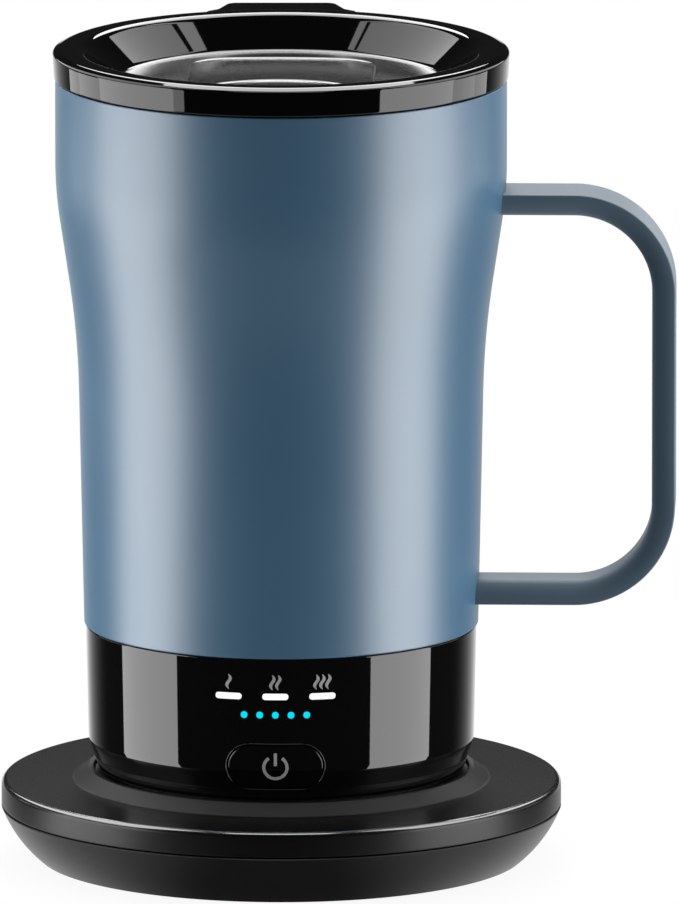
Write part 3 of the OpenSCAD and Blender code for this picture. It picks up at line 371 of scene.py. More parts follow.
def pill_block(name, width, height, centre, depth, forward):
    """A block with a pill-shaped face, which faces forward or up, from the centre of that face inwards."""
    bpy.ops.object.select_all(action="DESELECT")
    bpy.ops.mesh.primitive_circle_add(vertices=pill_steps, radius=height / 2, fill_type="NGON")
    piece = bpy.context.object
    piece.name = name
    bpy.ops.object.mode_set(mode="EDIT")
    for side in (-1, 1):
        select_places(piece, lambda p: p.x * side > merge_reach)
        bpy.ops.transform.translate(value=(side * (width - height) / 2, 0, 0))
    bpy.ops.mesh.select_all(action="SELECT")
    bpy.ops.mesh.extrude_region_move(TRANSFORM_OT_translate={"value": (0, 0, -depth)})
    bpy.ops.mesh.select_all(action="SELECT")
    bpy.ops.mesh.normals_make_consistent(inside=False)
    bpy.ops.object.mode_set(mode="OBJECT")
    piece.rotation_euler = (math.pi / 2 if forward else 0, 0, 0)
    piece.location = centre
    bpy.ops.object.transform_apply(location=True, rotation=True, scale=True)
    return piece


def take(piece):
    """Selects one piece alone, to work on it."""
    bpy.ops.object.select_all(action="DESELECT")
    bpy.context.view_layer.objects.active = piece
    piece.select_set(True)


def modify(piece, kind, **settings):
    """Adds a modifier with its settings to a piece, and applies it."""
    take(piece)
    bpy.ops.object.modifier_add(type=kind)
    modifier = piece.modifiers[-1]
    for setting, value in settings.items():
        setattr(modifier, setting, value)
    bpy.ops.object.modifier_apply(modifier=modifier.name)


def combine(piece, tool, operation="DIFFERENCE", keep_tool=False):
    """Cuts a piece with a tool, joins the two or keeps what they share."""
    modify(piece, "BOOLEAN", operation=operation, object=tool)
    if not keep_tool:
        bpy.data.objects.remove(tool)
    bpy.ops.object.shade_smooth_by_angle(angle=smooth_turn)


def place_piece(piece, material, body, slot, *nodes):
    """Gives a finished piece its surface and its body, in place of solids of the frame."""
    piece.data.materials.clear()
    piece.data.materials.append(material)
    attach(piece, body)
    if nodes:
        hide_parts(*nodes)


satin_bowl = finish(
    "satin_bowl", (0.003, 0.003, 0.0032), 0.32, grain_size=0.25, relief=0.0015, uneven=0.01, IOR=1.38)
bowl = turned("coaster_bowl", [
    *bulge((bowl_foot_radius, coaster_low.z), (coaster_radius, coaster_high.z - edge_round), bowl_round),
    *[Vector(p) for p in (
        (coaster_radius - edge_round, coaster_high.z),
        (coaster_radius - bowl_wall, coaster_high.z),
        (coaster_radius - bowl_wall, spigot_rebate),
        (bowl_foot_radius, bowl_floor),
        (0, bowl_floor),
        (0, pad_recess_top),
        (pad_recess_radius, pad_recess_top),
        (pad_recess_radius, coaster_low.z))]])
inlet_low, inlet_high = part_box("usb_socket")
inlet_slot = pill_block(
    "inlet_slot", inlet_high.x - inlet_low.x + inlet_room, inlet_high.z - inlet_low.z + inlet_room,
    (0, bowl_foot_radius, (inlet_low.z + inlet_high.z) / 2), inlet_depth, True)
combine(bowl, inlet_slot)
place_piece(bowl, satin_bowl, "coaster", "satin_black", "coaster_base")

# Coaster works
# A green circuit board with its chips and power socket, and two sprung gold pins in a white holder.
# The board rests on four stand-offs, and three steel screws close the coaster from below.
# The pins' wire springs shorten when the mug presses the pins down.
board_green = finish("board_green", (0.012, 0.09, 0.035), 0.35, tone=0.25, grain_size=0.5, relief=0.01)
chip_black = finish("chip_black", (0.02, 0.02, 0.021), 0.5, grain_size=0.15)
screw_steel = finish("screw_steel", (0.55, 0.55, 0.56), 0.28, uneven=0.08, grain_size=0.2, Metallic=1.0)
gold = finish("gold_contact", (0.83, 0.58, 0.22), 0.22, uneven=0.06, grain_size=0.2, Metallic=1.0)
holder_white = finish("holder_white", (0.72, 0.72, 0.70), 0.45, tone=0.04)
dress(board_green, "coaster_board")
dress(chip_black, "coaster_components")
dress(finish("socket_steel", (0.5, 0.5, 0.51), 0.3, uneven=0.1, Metallic=1.0), "usb_socket")
dress(holder_white, "pin_holder")
dress(gold, "inner_pin", "outer_pin")
dress(screw_steel, "coaster_screws")
for pin in ("inner_pin", "outer_pin"):
    coil = bpy.data.objects.new(pin + "_coil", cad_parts[pin + "_spring"].data.copy())
    bpy.context.scene.collection.objects.link(coil)
    take(coil)
    bpy.ops.object.mode_set(mode="EDIT")
    close_up()
    place_piece(coil, screw_steel, "coaster", "screw_steel", pin + "_spring")
    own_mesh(coil)

# Coaster top
# The upper half of the coaster, moulded in the same textured black plastic as the bowl.
# A low sloping ring stands round the seat of the mug, and two pins come up through the seat.
# The upper edge of its side is polished.
top_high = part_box("coaster_top")[1]
skirt = 10.6 * MM
spigot_radius = 53.2 * MM
spigot_depth = 1.8 * MM
disc_height = 15.7 * MM
disc_round = 1.2 * MM
disc_under = disc_height - bowl_wall
seat_height = 17.3 * MM
seat_under = 15.1 * MM
seat_radius = 36.9 * MM
seat_draft = 0.3 * MM
seat_edge = 0.25 * MM
plinth_top_radius = 38.2 * MM
plinth_foot_radius = 41.1 * MM
plinth_edge = 0.35 * MM
plinth_foot_round = 1 * MM
plinth_wall = 2.2 * MM
pin_hole_radius = 1.3 * MM
pin_hole_depth = 6 * MM
plinth_roughness = 0.5
plinth_blend_in, plinth_blend_out = 0.2 * MM, 0.4 * MM
disc_roughness = 0.255
band_roughness = 0.36
band_top = disc_height - disc_round
band_blend = 0.3 * MM
polish_inset = 0.7 * disc_round
polish_from, polish_full = 0.65 * MM, 0.5 * MM


def rounded(corners, step=1.5 * MM, hold=0.12 * MM):
    """Closed outline through corners given as x, z and radius, with a short straight beside each arc."""
    points = []
    for i, (x, z, radius) in enumerate(corners):
        here = Vector((x, z))
        before = (Vector(corners[i - 1][:2]) - here).normalized()
        after = (Vector(corners[(i + 1) % len(corners)][:2]) - here).normalized()
        if radius == 0:
            points.append(here)
            continue
        half = before.angle(after) / 2
        reach = radius / math.tan(half)
        centre = here + (before + after).normalized() * radius / math.sin(half)
        points.append(here + before * (reach + hold))
        points.extend(arc(centre, here + before * reach, here + after * reach, step))
        points.append(here + after * (reach + hold))
    return points


def joined(pieces):
    """Makes several meshes into one."""
    take(pieces[0])
    for piece in pieces:
        piece.select_set(True)
    bpy.ops.object.join()
    return pieces[0]


satin_disc = finish(
    "satin_disc", (0.003, 0.003, 0.0032), disc_roughness, grain_size=0.25, relief=0.0015, IOR=1.4,
    Coat_IOR=2.5, Coat_Roughness=0.12)
tree = satin_disc.node_tree
shader = tree.nodes["Principled BSDF"]
axes = axes_of(tree)
spread = from_axis(tree, axes)
top_rough = ramp(
    tree, spread, plinth_foot_radius - plinth_blend_in, plinth_foot_radius + plinth_blend_out,
    plinth_roughness, disc_roughness)
on_band = ramp(tree, axes["Z"], band_top + band_blend, band_top)
all_rough = tree.nodes.new("ShaderNodeMix")
all_rough.inputs["B"].default_value = band_roughness
tree.links.new(on_band, all_rough.inputs["Factor"])
tree.links.new(top_rough, all_rough.inputs["A"])
tree.links.new(all_rough.outputs["Result"], shader.inputs["Roughness"])
near_side = ramp(tree, spread, coaster_radius - disc_round, coaster_radius - polish_inset)
near_top = ramp(tree, axes["Z"], disc_height - polish_from, disc_height - polish_full)
tree.links.new(arithmetic(tree, "MULTIPLY", near_side, near_top), shader.inputs["Coat Weight"])
coaster_disc = turned("coaster_disc", rounded([
    (0, seat_height, 0),
    (seat_radius, seat_height, 0),
    (seat_radius + seat_draft, top_high.z, seat_edge),
    (plinth_top_radius, top_high.z, plinth_edge),
    (plinth_foot_radius, disc_height, plinth_foot_round),
    (coaster_radius, disc_height, disc_round),
    (coaster_radius, skirt, edge_round),
    (spigot_radius, skirt, 0),
    (spigot_radius, skirt - spigot_depth, 0),
    (spigot_radius - bowl_wall, skirt - spigot_depth, 0),
    (spigot_radius - bowl_wall, disc_under, 0),
    (plinth_top_radius, disc_under, 0),
    (plinth_top_radius - plinth_wall, seat_under, 0),
    (0, seat_under, 0)]))
pin_holes = []
for pin in ("inner_pin", "outer_pin"):
    pin_low, pin_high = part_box(pin)
    pin_holes.append(pill_block(
        "pin_hole", 2 * pin_hole_radius, 2 * pin_hole_radius,
        ((pin_low.x + pin_high.x) / 2, 0, top_high.z), pin_hole_depth, False))
combine(coaster_disc, joined(pin_holes))
place_piece(coaster_disc, satin_disc, "coaster", "satin_black", "coaster_top")

# Base cover
# A black plastic plate that closes the mug's base, screwed on from below over a rubber ring.
# Two gold rings are set into it for the coaster's pins, and a rubber ring is its foot.
foot_rubber = finish("foot_rubber", (0.015, 0.015, 0.016), 0.75, grain_size=0.3, relief=0.015)
soft_grey = finish("soft_grey", (0.16, 0.16, 0.165), 0.6, grain_size=0.3, relief=0.01)
plain_black = finish("plain_black", (0.013, 0.013, 0.014), 0.45, grain_size=0.3, relief=0.008)
dress(plain_black, "base_cover")
dress(soft_grey, "base_seal")
dress(screw_steel, "base_cover_screws")
dress(gold, "contact_rings")
dress(foot_rubber, "foot_ring")

# Base housing
# The gloss black ring under the shell, moulded in piano-black plastic and glued into the shell.
# It is pierced for the windows of the display and for the button.
base_low, base_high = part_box("base_housing")
base_radius = base_high.x
base_foot_radius = 36.3 * MM
base_foot_edge = 0.5 * MM
base_top = 47 * MM
base_top_edge = 0.3 * MM
bevel_radius = 38.2 * MM
bevel_top = base_low.z + 5.7 * MM
bevel_round = 6 * MM
house_radius = 36 * MM
shell_spigot_radius = 38.2 * MM
cover_opening = 35.9 * MM
cover_ledge = base_low.z + 1 * MM
housing_front = -45 * MM
housing_depth = 12 * MM
gloss_steps = 384
bar_low, bar_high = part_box("level_lenses")
dot_low, dot_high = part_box("charge_lenses")
bar_length, bar_height, bar_pitch = 5.12 * MM, 1.22 * MM, 9.25 * MM
dot_size, dot_pitch = 1.3 * MM, 3.09 * MM
bars_x = [i * bar_pitch for i in (-1, 0, 1)]
dots_x = [i * dot_pitch for i in range(-2, 3)]
bars_z = (bar_low.z + bar_high.z) / 2
dots_z = (dot_low.z + dot_high.z) / 2
lens_room = 2 * 0.05 * MM
button_z = 25.2 * MM
button_width, button_height = 18.9 * MM, 8.8 * MM
button_room = 2 * 0.3 * MM
base_gloss = finish(
    "base_gloss", (0.002, 0.002, 0.0023), 0.03, uneven=0.008, grain_size=4, relief=0.0004, IOR=1.6)
base_side = [
    (base_foot_radius, base_low.z, base_foot_edge),
    (bevel_radius, bevel_top, bevel_round),
    (base_radius, base_top, base_top_edge)]
base_form = turned(
    "base_form", rounded([(0, base_low.z, 0), *base_side, (0, base_top, 0)]), gloss_steps)
housing = turned("base_ring", rounded([
    (cover_opening, base_low.z, 0),
    *base_side,
    (shell_spigot_radius, base_top, 0),
    (shell_spigot_radius, base_high.z, 0),
    (house_radius, base_high.z, 0),
    (house_radius, cover_ledge, 0),
    (cover_opening, cover_ledge, 0)]), gloss_steps)
openings = [
    *((x, bars_z, bar_length + lens_room, bar_height + lens_room) for x in bars_x),
    *((x, dots_z, dot_size + lens_room, dot_size + lens_room) for x in dots_x),
    (0, button_z, button_width + button_room, button_height + button_room)]
combine(housing, joined([
    pill_block("opening", width, height, (x, housing_front, z), housing_depth, True)
    for x, z, width, height in openings]))
place_piece(housing, base_gloss, "mug", "gloss_black", "base_housing")

# Display windows
# Clear plastic lenses, pressed into the housing and lit from behind by the lamps of the display board.
# White bars show the heat and cyan dots the charge, and their faces follow the curve of the housing.
level_light = finish(
    "level_light", (0.1, 0.1, 0.1), 0.3, tone=0.02, Emission_Color=(1, 1, 1, 1), Emission_Strength=1.0)
charge_light = finish(
    "charge_light", (0.0, 0.05, 0.06), 0.3, tone=0.02, Emission_Color=(0.0, 0.79, 1.0, 1),
    Emission_Strength=0.9)


def lenses(name, places, width, height, z, back):
    """Pill-shaped lenses side by side, from the housing's outside to their back."""
    row = joined([
        pill_block(name, width, height, (x, housing_front, z), back - housing_front, True) for x in places])
    combine(row, base_form, "INTERSECT", keep_tool=True)
    return row


level_windows = lenses("level_windows", bars_x, bar_length, bar_height, bars_z, bar_high.y)
place_piece(level_windows, level_light, "mug", "level_light", "level_lenses")
charge_windows = lenses("charge_windows", dots_x, dot_size, dot_size, dots_z, dot_high.y)
place_piece(charge_windows, charge_light, "mug", "charge_light", "charge_lenses")

# Heat marks
# Steam lines over the windows, one for low heat, two for middle and three for high.
# They are pad printed on the housing in grey ink.
mark_lift = 0.02 * MM
mark_thick = 0.03 * MM
steam_height = 3.0 * MM
steam_stroke = 0.72 * MM
steam_tip = 0.15
steam_swell = 0.7
steam_sway = 0.34 * MM
steam_pitch = 1.17 * MM
steam_z = bars_z + 2.9 * MM
steam_rows = 16
near = 0.01 * MM
print_grey = finish("print_grey", (0.36, 0.36, 0.36), 0.45, tone=0.05, grain_size=0.1, relief=0.002)


def laid_on(piece, form, lift):
    """Lays a flat piece in front of a form back onto its surface."""
    modify(
        piece, "SHRINKWRAP", target=form, wrap_method="PROJECT", use_project_x=False, use_project_y=True,
        use_project_z=False, use_negative_direction=True, use_positive_direction=True, offset=lift)


def thickened(piece, thick):
    """Gives a thin print its thickness, half of it to either side."""
    modify(piece, "SOLIDIFY", thickness=thick, offset=0)
    bpy.ops.object.mode_set(mode="EDIT")
    bpy.ops.mesh.select_all(action="SELECT")
    bpy.ops.mesh.normals_make_consistent(inside=False)
    bpy.ops.object.mode_set(mode="OBJECT")


def stroke(width, height, z, rows):
    """A flat upright strip of faces in front of the housing."""
    bpy.ops.object.select_all(action="DESELECT")
    bpy.ops.mesh.primitive_grid_add(x_subdivisions=2, y_subdivisions=rows, size=1)
    strip = bpy.context.object
    strip.scale = (width, height, 1)
    strip.rotation_euler = (math.pi / 2, 0, 0)
    strip.location = (0, housing_front, z)
    bpy.ops.object.transform_apply(location=True, rotation=True, scale=True)
    return strip


def copy_along(piece, x):
    """Copies a piece, with a mesh of its own, to a place along X."""
    take(piece)
    bpy.ops.object.duplicate()
    copy = bpy.context.object
    copy.location.x = x
    bpy.ops.object.transform_apply(location=True, rotation=False, scale=False)
    return copy


first_line = stroke(steam_stroke, steam_height, steam_z, steam_rows)
bpy.ops.object.mode_set(mode="EDIT")
for row in range(steam_rows + 1):
    share = row / steam_rows
    row_z = steam_z + (share - 0.5) * steam_height
    select_places(first_line, lambda p: abs(p.z - row_z) < near)
    width = steam_tip + (1 - steam_tip) * math.sin(math.pi * share) ** steam_swell
    bpy.ops.transform.resize(value=(width, 1, 1), center_override=(0, housing_front, row_z))
    bpy.ops.transform.translate(value=(-steam_sway * math.sin(2 * math.pi * share), 0, 0))
bpy.ops.object.mode_set(mode="OBJECT")
steam_lines = []
for heat, bar_x in enumerate(bars_x):
    for i in range(heat + 1):
        steam_lines.append(copy_along(first_line, bar_x + (i - heat / 2) * steam_pitch))
bpy.data.objects.remove(first_line)
heat_marks = joined(steam_lines)
heat_marks.name = "heat_marks"
laid_on(heat_marks, base_form, mark_lift)
thickened(heat_marks, mark_thick)
place_piece(heat_marks, print_grey, "mug", "white_plastic")

# Button
# A gloss black pill that follows the curve of the housing, with softly rounded edges.
# A grey standby sign is printed on it, and a thin lip runs round its opening.
button_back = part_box("button_cap")[1].y
button_insets_mm = (0.25, 0.3, *[0.42] * 9)
button_edge = 0.3 * MM
button_edge_steps = 4
button_round = 25 * MM
button_corner = math.radians(50)
outline_step = 0.35 * MM
lip_size = 0.13 * MM
lip_sink = 0.04 * MM
sign_radius = 2.6 * MM
sign_stroke = 0.62 * MM
sign_gap = math.radians(34)
sign_steps = 72
sign_bar_z = button_z + 0.62 * sign_radius
sign_bar_rows = 8


def pill_outline(width, height, step):
    """Points round a pill, at most a step apart."""
    points = []
    end_x = (width - height) / 2
    for side in (1, -1):
        corner = Vector((side * end_x, side * height / 2))
        across = Vector((-side * end_x, side * height / 2))
        steps = math.ceil(2 * end_x / step)
        points.extend(corner.lerp(across, i / steps) for i in range(steps))
        steps = math.ceil(math.pi * height / 2 / step)
        for i in range(steps):
            turn = math.pi * (i / steps + 0.5)
            points.append(Vector((
                side * (height / 2 * math.cos(turn) - end_x), side * height / 2 * math.sin(turn))))
    return points


button_form = turned("button_form", rounded([
    (0, base_low.z, 0),
    (base_foot_radius, base_low.z, base_foot_edge),
    (bevel_radius, bevel_top, button_round),
    (base_radius, base_top, base_top_edge),
    (0, base_top, 0)]))
button = draw(
    "button", pill_outline(button_width, button_height, outline_step),
    lambda p: Vector((p.x, housing_front, button_z + p.y)))
bpy.ops.mesh.edge_face_add()
for inset in button_insets_mm:
    bpy.ops.mesh.inset(thickness=inset * MM)
bpy.ops.mesh.quads_convert_to_tris(ngon_method="BEAUTY")
bpy.ops.object.mode_set(mode="OBJECT")
laid_on(button, button_form, 0)
bpy.ops.object.mode_set(mode="EDIT")
bpy.ops.mesh.select_all(action="DESELECT")
bpy.ops.mesh.select_non_manifold()
bpy.ops.mesh.extrude_region_move(TRANSFORM_OT_translate={"value": (0, MM, 0)})
bpy.ops.transform.resize(value=(1, 0, 1), center_override=(0, button_back, button_z))
bpy.ops.mesh.edge_face_add()
bpy.ops.mesh.select_all(action="SELECT")
bpy.ops.mesh.normals_make_consistent(inside=False)
bpy.ops.mesh.select_all(action="DESELECT")
bpy.ops.mesh.edges_select_sharp(sharpness=button_corner)
bpy.ops.mesh.bevel(offset=button_edge, segments=button_edge_steps, affect="EDGES")
close_up()
place_piece(button, base_gloss, "button", "gloss_black", "button_cap")
lip = draw(
    "button_lip", pill_outline(button_width + button_room, button_height + button_room, outline_step),
    lambda p: Vector((p.x, housing_front, button_z + p.y)))
bpy.ops.object.mode_set(mode="OBJECT")
laid_on(lip, base_form, -lip_sink)
bpy.ops.object.convert(target="CURVE")
lip.data.bevel_depth = lip_size
bpy.ops.object.convert(target="MESH")
bpy.ops.object.shade_smooth()
place_piece(lip, base_gloss, "mug", "gloss_black")
bpy.data.objects.remove(base_form)
bpy.ops.object.select_all(action="DESELECT")
bpy.ops.mesh.primitive_circle_add(
    vertices=sign_steps, radius=sign_radius, location=(0, housing_front, button_z),
    rotation=(math.pi / 2, 0, 0))
sign_ring = bpy.context.object
bpy.ops.object.transform_apply(location=True, rotation=True, scale=True)
bpy.ops.object.mode_set(mode="EDIT")
bpy.ops.mesh.select_all(action="SELECT")
bpy.ops.mesh.extrude_region_move()
inner_share = 1 - sign_stroke / sign_radius
bpy.ops.transform.resize(
    value=(inner_share, 1, inner_share), center_override=(0, housing_front, button_z))
select_places(
    sign_ring, lambda p: p.z > button_z and abs(p.x) < math.tan(sign_gap) * (p.z - button_z))
bpy.ops.mesh.delete(type="VERT")
bpy.ops.object.mode_set(mode="OBJECT")
sign_bar = stroke(sign_stroke, sign_radius, sign_bar_z, sign_bar_rows)
sign = joined([sign_ring, sign_bar])
sign.name = "standby_sign"
laid_on(sign, button_form, mark_lift)
thickened(sign, mark_thick)
bpy.data.objects.remove(button_form)
place_piece(sign, print_grey, "button", "white_plastic")

# Base works
# A grey plastic chassis in the housing carries two battery cells, the control board and the display board.
# Nickel tabs join the cells, screws hold the board, and red leads run to the rings and the heater.
dress(finish("chassis_grey", (0.035, 0.036, 0.038), 0.5), "base_chassis", "light_shroud", "tact_switch")
dress(finish("cell_wrap", (0.03, 0.10, 0.33), 0.3, grain_size=0.8), "battery_cells")
dress(finish("nickel", (0.6, 0.58, 0.54), 0.3, uneven=0.08, Metallic=1.0), "battery_tabs")
dress(board_green, "control_board", "display_board")
dress(chip_black, "board_components")
dress(screw_steel, "board_screws")
dress(finish("lead_cover", (0.5, 0.04, 0.03), 0.5, tone=0.05), "contact_leads", "heater_leads")
dress(finish("led_white", (0.85, 0.82, 0.6), 0.35, tone=0.04), "display_leds")
dress(soft_grey, "button_seal")
dress(holder_white, "switch_plunger")

# Liner and heater
# The drinking cup, spun from steel and brushed, with an aluminium plate under its floor.
# A heating film and a heat sensor lie under the plate, and a felt disc keeps the heat from the base.
liner_steel = finish(
    "liner_steel", (0.62, 0.61, 0.6), 0.3, uneven=0.06, grain_size=0.3, Metallic=1.0)
dress(liner_steel, "inner_liner")
dress(finish("spreader_aluminium", (0.7, 0.7, 0.71), 0.4, uneven=0.08, Metallic=1.0), "heat_spreader")
dress(finish("heater_film", (0.5, 0.16, 0.02), 0.35), "heating_film")
dress(chip_black, "thermistor")
dress(finish("insulation_felt", (0.6, 0.58, 0.52), 0.95, grain_size=0.6, relief=0.08), "insulation_disc")

# Outer shell
# The steel wall of the mug, wide at the rim and drawn in at the waist, in a satin blue paint.
# It is welded to the liner at the rim, and the lid's edge covers that joint.
shell_low, shell_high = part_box("outer_shell")
rim_radius = shell_high.x
waist_radius = 40.25 * MM
foot_radius = 39.05 * MM
waist_height = 105.1 * MM
shoulder_height = 134.2 * MM
waist_round = 173 * MM
shoulder_round = 78 * MM
shell_wall = 0.8 * MM
shell_foot_edge = 0.4 * MM
shell_rim_edge = 0.2 * MM
shell_steps = 320
blue_paint = finish(
    "blue_paint", (0.038, 0.117, 0.204), 0.38, tone=0.03, uneven=0.015, grain_size=0.12, relief=0.0015,
    IOR=2.0)
shell = turned("shell", rounded([
    (foot_radius, shell_low.z, shell_foot_edge),
    (waist_radius, waist_height, waist_round),
    (rim_radius, shoulder_height, shoulder_round),
    (rim_radius, shell_high.z, shell_rim_edge),
    (rim_radius - shell_wall, shell_high.z, 0),
    (rim_radius - shell_wall, shoulder_height, shoulder_round - shell_wall),
    (waist_radius - shell_wall, waist_height, waist_round + shell_wall),
    (foot_radius - shell_wall, shell_low.z, 0)]), shell_steps)
place_piece(shell, blue_paint, "mug", "blue_paint", "outer_shell")

# Handle
# A flat steel band with two round corners, softly rounded on the side of the fingers.
# It is welded to the shell at both ends, and its paint is rougher than the shell's, with a painted grey
# sheen in its colour.
handle_low, handle_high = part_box("handle")
handle_reach = handle_high.x
handle_half = handle_high.y
handle_thick = 4.65 * MM
handle_corner = 20 * MM
handle_outer_edge = 0.3 * MM
handle_inner_edge = 4.0 * MM
handle_edge_hold = 0.1 * MM
handle_root = 30 * MM
bend_steps = 32
weld_depth = 0.3 * MM
straight_x = handle_reach - handle_corner
section = rounded([
    (-handle_half, handle_high.z - handle_thick, handle_inner_edge),
    (handle_half, handle_high.z - handle_thick, handle_inner_edge),
    (handle_half, handle_high.z, handle_outer_edge),
    (-handle_half, handle_high.z, handle_outer_edge)], hold=handle_edge_hold)
handle = draw("band_handle", section, lambda p: Vector((handle_root, p.x, p.y)))
bpy.ops.mesh.edge_face_add()
for centre_z, run in (
        (handle_high.z - handle_corner, (straight_x - handle_root, 0, 0)),
        (handle_low.z + handle_corner, (0, 0, handle_low.z - handle_high.z + 2 * handle_corner))):
    bpy.ops.mesh.extrude_region_move(TRANSFORM_OT_translate={"value": run})
    bpy.ops.mesh.spin(
        steps=bend_steps, angle=math.pi / 2, center=(straight_x, 0, centre_z), axis=(0, -1, 0))
bpy.ops.mesh.extrude_region_move(TRANSFORM_OT_translate={"value": (handle_root - straight_x, 0, 0)})
close_up()
shell_form = turned("shell_form", rounded([
    (0, shell_low.z, 0),
    (foot_radius - weld_depth, shell_low.z, 0),
    (waist_radius - weld_depth, waist_height, waist_round),
    (rim_radius - weld_depth, shoulder_height, shoulder_round),
    (rim_radius - weld_depth, shell_high.z, 0),
    (0, shell_high.z, 0)]))
combine(handle, shell_form)
# Painted light: the shell's blue is made greyer here, standing in for the pale sheen the handle catches.
handle_paint = finish(
    "handle_paint", (0.053, 0.098, 0.140), 0.58, tone=0.03, uneven=0.015, grain_size=0.12, relief=0.0015,
    IOR=1.6, Sheen_Weight=0.35, Sheen_Roughness=0.4)
place_piece(handle, handle_paint, "mug", "blue_paint", "handle")

# Lid
# A gloss black push-in lid with a dished top, moulded in one with its plug and the thumb tab at the back.
# A grey silicone ring in the plug's groove holds it in the mug.
# Its floor is a little duller, and has a slot to sip from and one for the slider's leg.
lid_low, lid_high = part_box("lid_body")
gasket_low, gasket_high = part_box("lid_gasket")
lid_radius = 45.2 * MM
lid_under = 156.8 * MM
lid_draft = 0.3 * MM
lid_foot_round = 0.25 * MM
mouth_radius = 39.5 * MM
mouth_round = 3.4 * MM
lid_floor_radius = 32 * MM
lid_floor = 156.1 * MM
floor_round = 2.6 * MM
floor_under = 153.9 * MM
floor_under_radius = 31.3 * MM
crown_width = 1.5 * MM
crown_drop = 0.6 * MM
crown_inner_round = 1.5 * MM
crown_outer_round = 0.5 * MM
plug_radius = 40.3 * MM
plug_edge = 0.6 * MM
plug_bore = 38.3 * MM
plug_bore_top = 159.6 * MM
groove_radius = 39.25 * MM
groove_gap = 0.05 * MM
tab_reach = 2.2 * MM
tab_half = 10.6 * MM
tab_spread = 2.2 * MM
tab_round = 2.4 * MM
tab_thick = 2.6 * MM
tab_drop = 0.03 * MM
tab_edge = 0.5 * MM
tab_sink = 3 * MM
tab_root = tab_half + tab_spread
tab_root_y = math.sqrt(lid_radius ** 2 - tab_root ** 2) + tab_round / 2
tab_middle_z = lid_high.z - tab_thick / 2
sip_width, sip_length, sip_y = 16 * MM, 6 * MM, -21 * MM
leg_slot_half, leg_slot_front, leg_slot_back = 4.3 * MM, -4.8 * MM, 9.3 * MM
slot_depth = 6 * MM
lid_roughness = 0.03
floor_roughness = 0.15
floor_gloss_from, floor_gloss_full = 0.1 * MM, 0.3 * MM
sharp_turn = math.radians(40)
lid = turned("lid", rounded([
    (0, lid_floor, 0),
    (lid_floor_radius, lid_floor, floor_round),
    (mouth_radius, lid_high.z, mouth_round),
    (lid_radius - crown_width, lid_high.z, crown_inner_round),
    (lid_radius, lid_high.z - crown_drop, crown_outer_round),
    (lid_radius - lid_draft, lid_under, lid_foot_round),
    (plug_radius, lid_under, 0),
    (plug_radius, gasket_high.z + groove_gap, 0),
    (groove_radius, gasket_high.z + groove_gap, 0),
    (groove_radius, gasket_low.z - groove_gap, 0),
    (plug_radius, gasket_low.z - groove_gap, 0),
    (plug_radius, lid_low.z, plug_edge),
    (plug_bore, lid_low.z, 0),
    (plug_bore, plug_bore_top, 0),
    (floor_under_radius, floor_under, 0),
    (0, floor_under, 0)]), gloss_steps)


def plate(name, outline, under, thick):
    """Draws a flat outline at a height and raises it into a plate."""
    piece = draw(name, outline, lambda p: Vector((p.x, p.y, under)))
    bpy.ops.mesh.edge_face_add()
    bpy.ops.mesh.extrude_region_move(TRANSFORM_OT_translate={"value": (0, 0, thick)})
    bpy.ops.mesh.select_all(action="SELECT")
    bpy.ops.mesh.normals_make_consistent(inside=False)
    return piece


def square_plate(name, half, front, back, under, thick):
    """A plate with square corners, as wide to the left as to the right."""
    corners = ((-half, front), (half, front), (half, back), (-half, back))
    piece = plate(name, [Vector(corner) for corner in corners], under, thick)
    close_up()
    return piece


def round_edges(piece, width, wanted, segments=4):
    """Rounds the sharp edges of a mesh in edit mode whose middle is wanted."""
    bpy.ops.mesh.select_all(action="DESELECT")
    bpy.ops.mesh.select_mode(type="EDGE")
    bpy.ops.mesh.edges_select_sharp(sharpness=sharp_turn)
    bpy.ops.object.mode_set(mode="OBJECT")
    points = piece.data.vertices
    for edge in piece.data.edges:
        ends = [points[i].co for i in edge.vertices]
        edge.select = edge.select and wanted((ends[0] + ends[1]) / 2)
    bpy.ops.object.mode_set(mode="EDIT")
    bpy.ops.mesh.bevel(offset=width, segments=segments, affect="EDGES")
    bpy.ops.mesh.select_mode(type="VERT")


def even_faces(piece):
    """Lets the large faces of a piece rule its shading, so that flat stretches look flat."""
    modify(piece, "WEIGHTED_NORMAL", keep_sharp=True)


tab = plate("thumb_tab", rounded([
    (-tab_root - tab_spread, tab_root_y - tab_spread, 0),
    (-tab_root - tab_spread, tab_root_y - 2 * tab_spread, 0),
    (0, lid_radius - tab_sink, 0),
    (tab_root + tab_spread, tab_root_y - 2 * tab_spread, 0),
    (tab_root + tab_spread, tab_root_y - tab_spread, 0),
    (tab_root, tab_root_y, tab_round),
    (tab_half, lid_high.y + tab_reach, tab_round),
    (-tab_half, lid_high.y + tab_reach, tab_round),
    (-tab_root, tab_root_y, tab_round)]), lid_high.z - tab_thick, tab_thick - tab_drop)
round_edges(
    tab, tab_edge,
    lambda p: p.y > tab_root_y - tab_spread and abs(p.z - tab_middle_z) > tab_thick / 4)
bpy.ops.mesh.select_all(action="SELECT")
bpy.ops.transform.rotate(value=-view_azimuth, orient_axis="Z", center_override=(0, 0, 0))
close_up()
combine(lid, tab, "UNION")
leg_slot = square_plate(
    "leg_slot", leg_slot_half, leg_slot_front, leg_slot_back, lid_floor - slot_depth / 2, slot_depth)
sip_slot = pill_block(
    "sip_slot", sip_width, sip_length, (0, sip_y, lid_floor + slot_depth / 2), slot_depth, False)
combine(lid, joined([leg_slot, sip_slot]))
even_faces(lid)
lid_gloss = finish("lid_gloss", (0.0012, 0.0012, 0.0014), lid_roughness, grain_size=4, relief=0.0004)
tree = lid_gloss.node_tree
lid_rough = ramp(
    tree, axes_of(tree)["Z"], lid_floor + floor_gloss_from, lid_floor + floor_gloss_full,
    floor_roughness, lid_roughness)
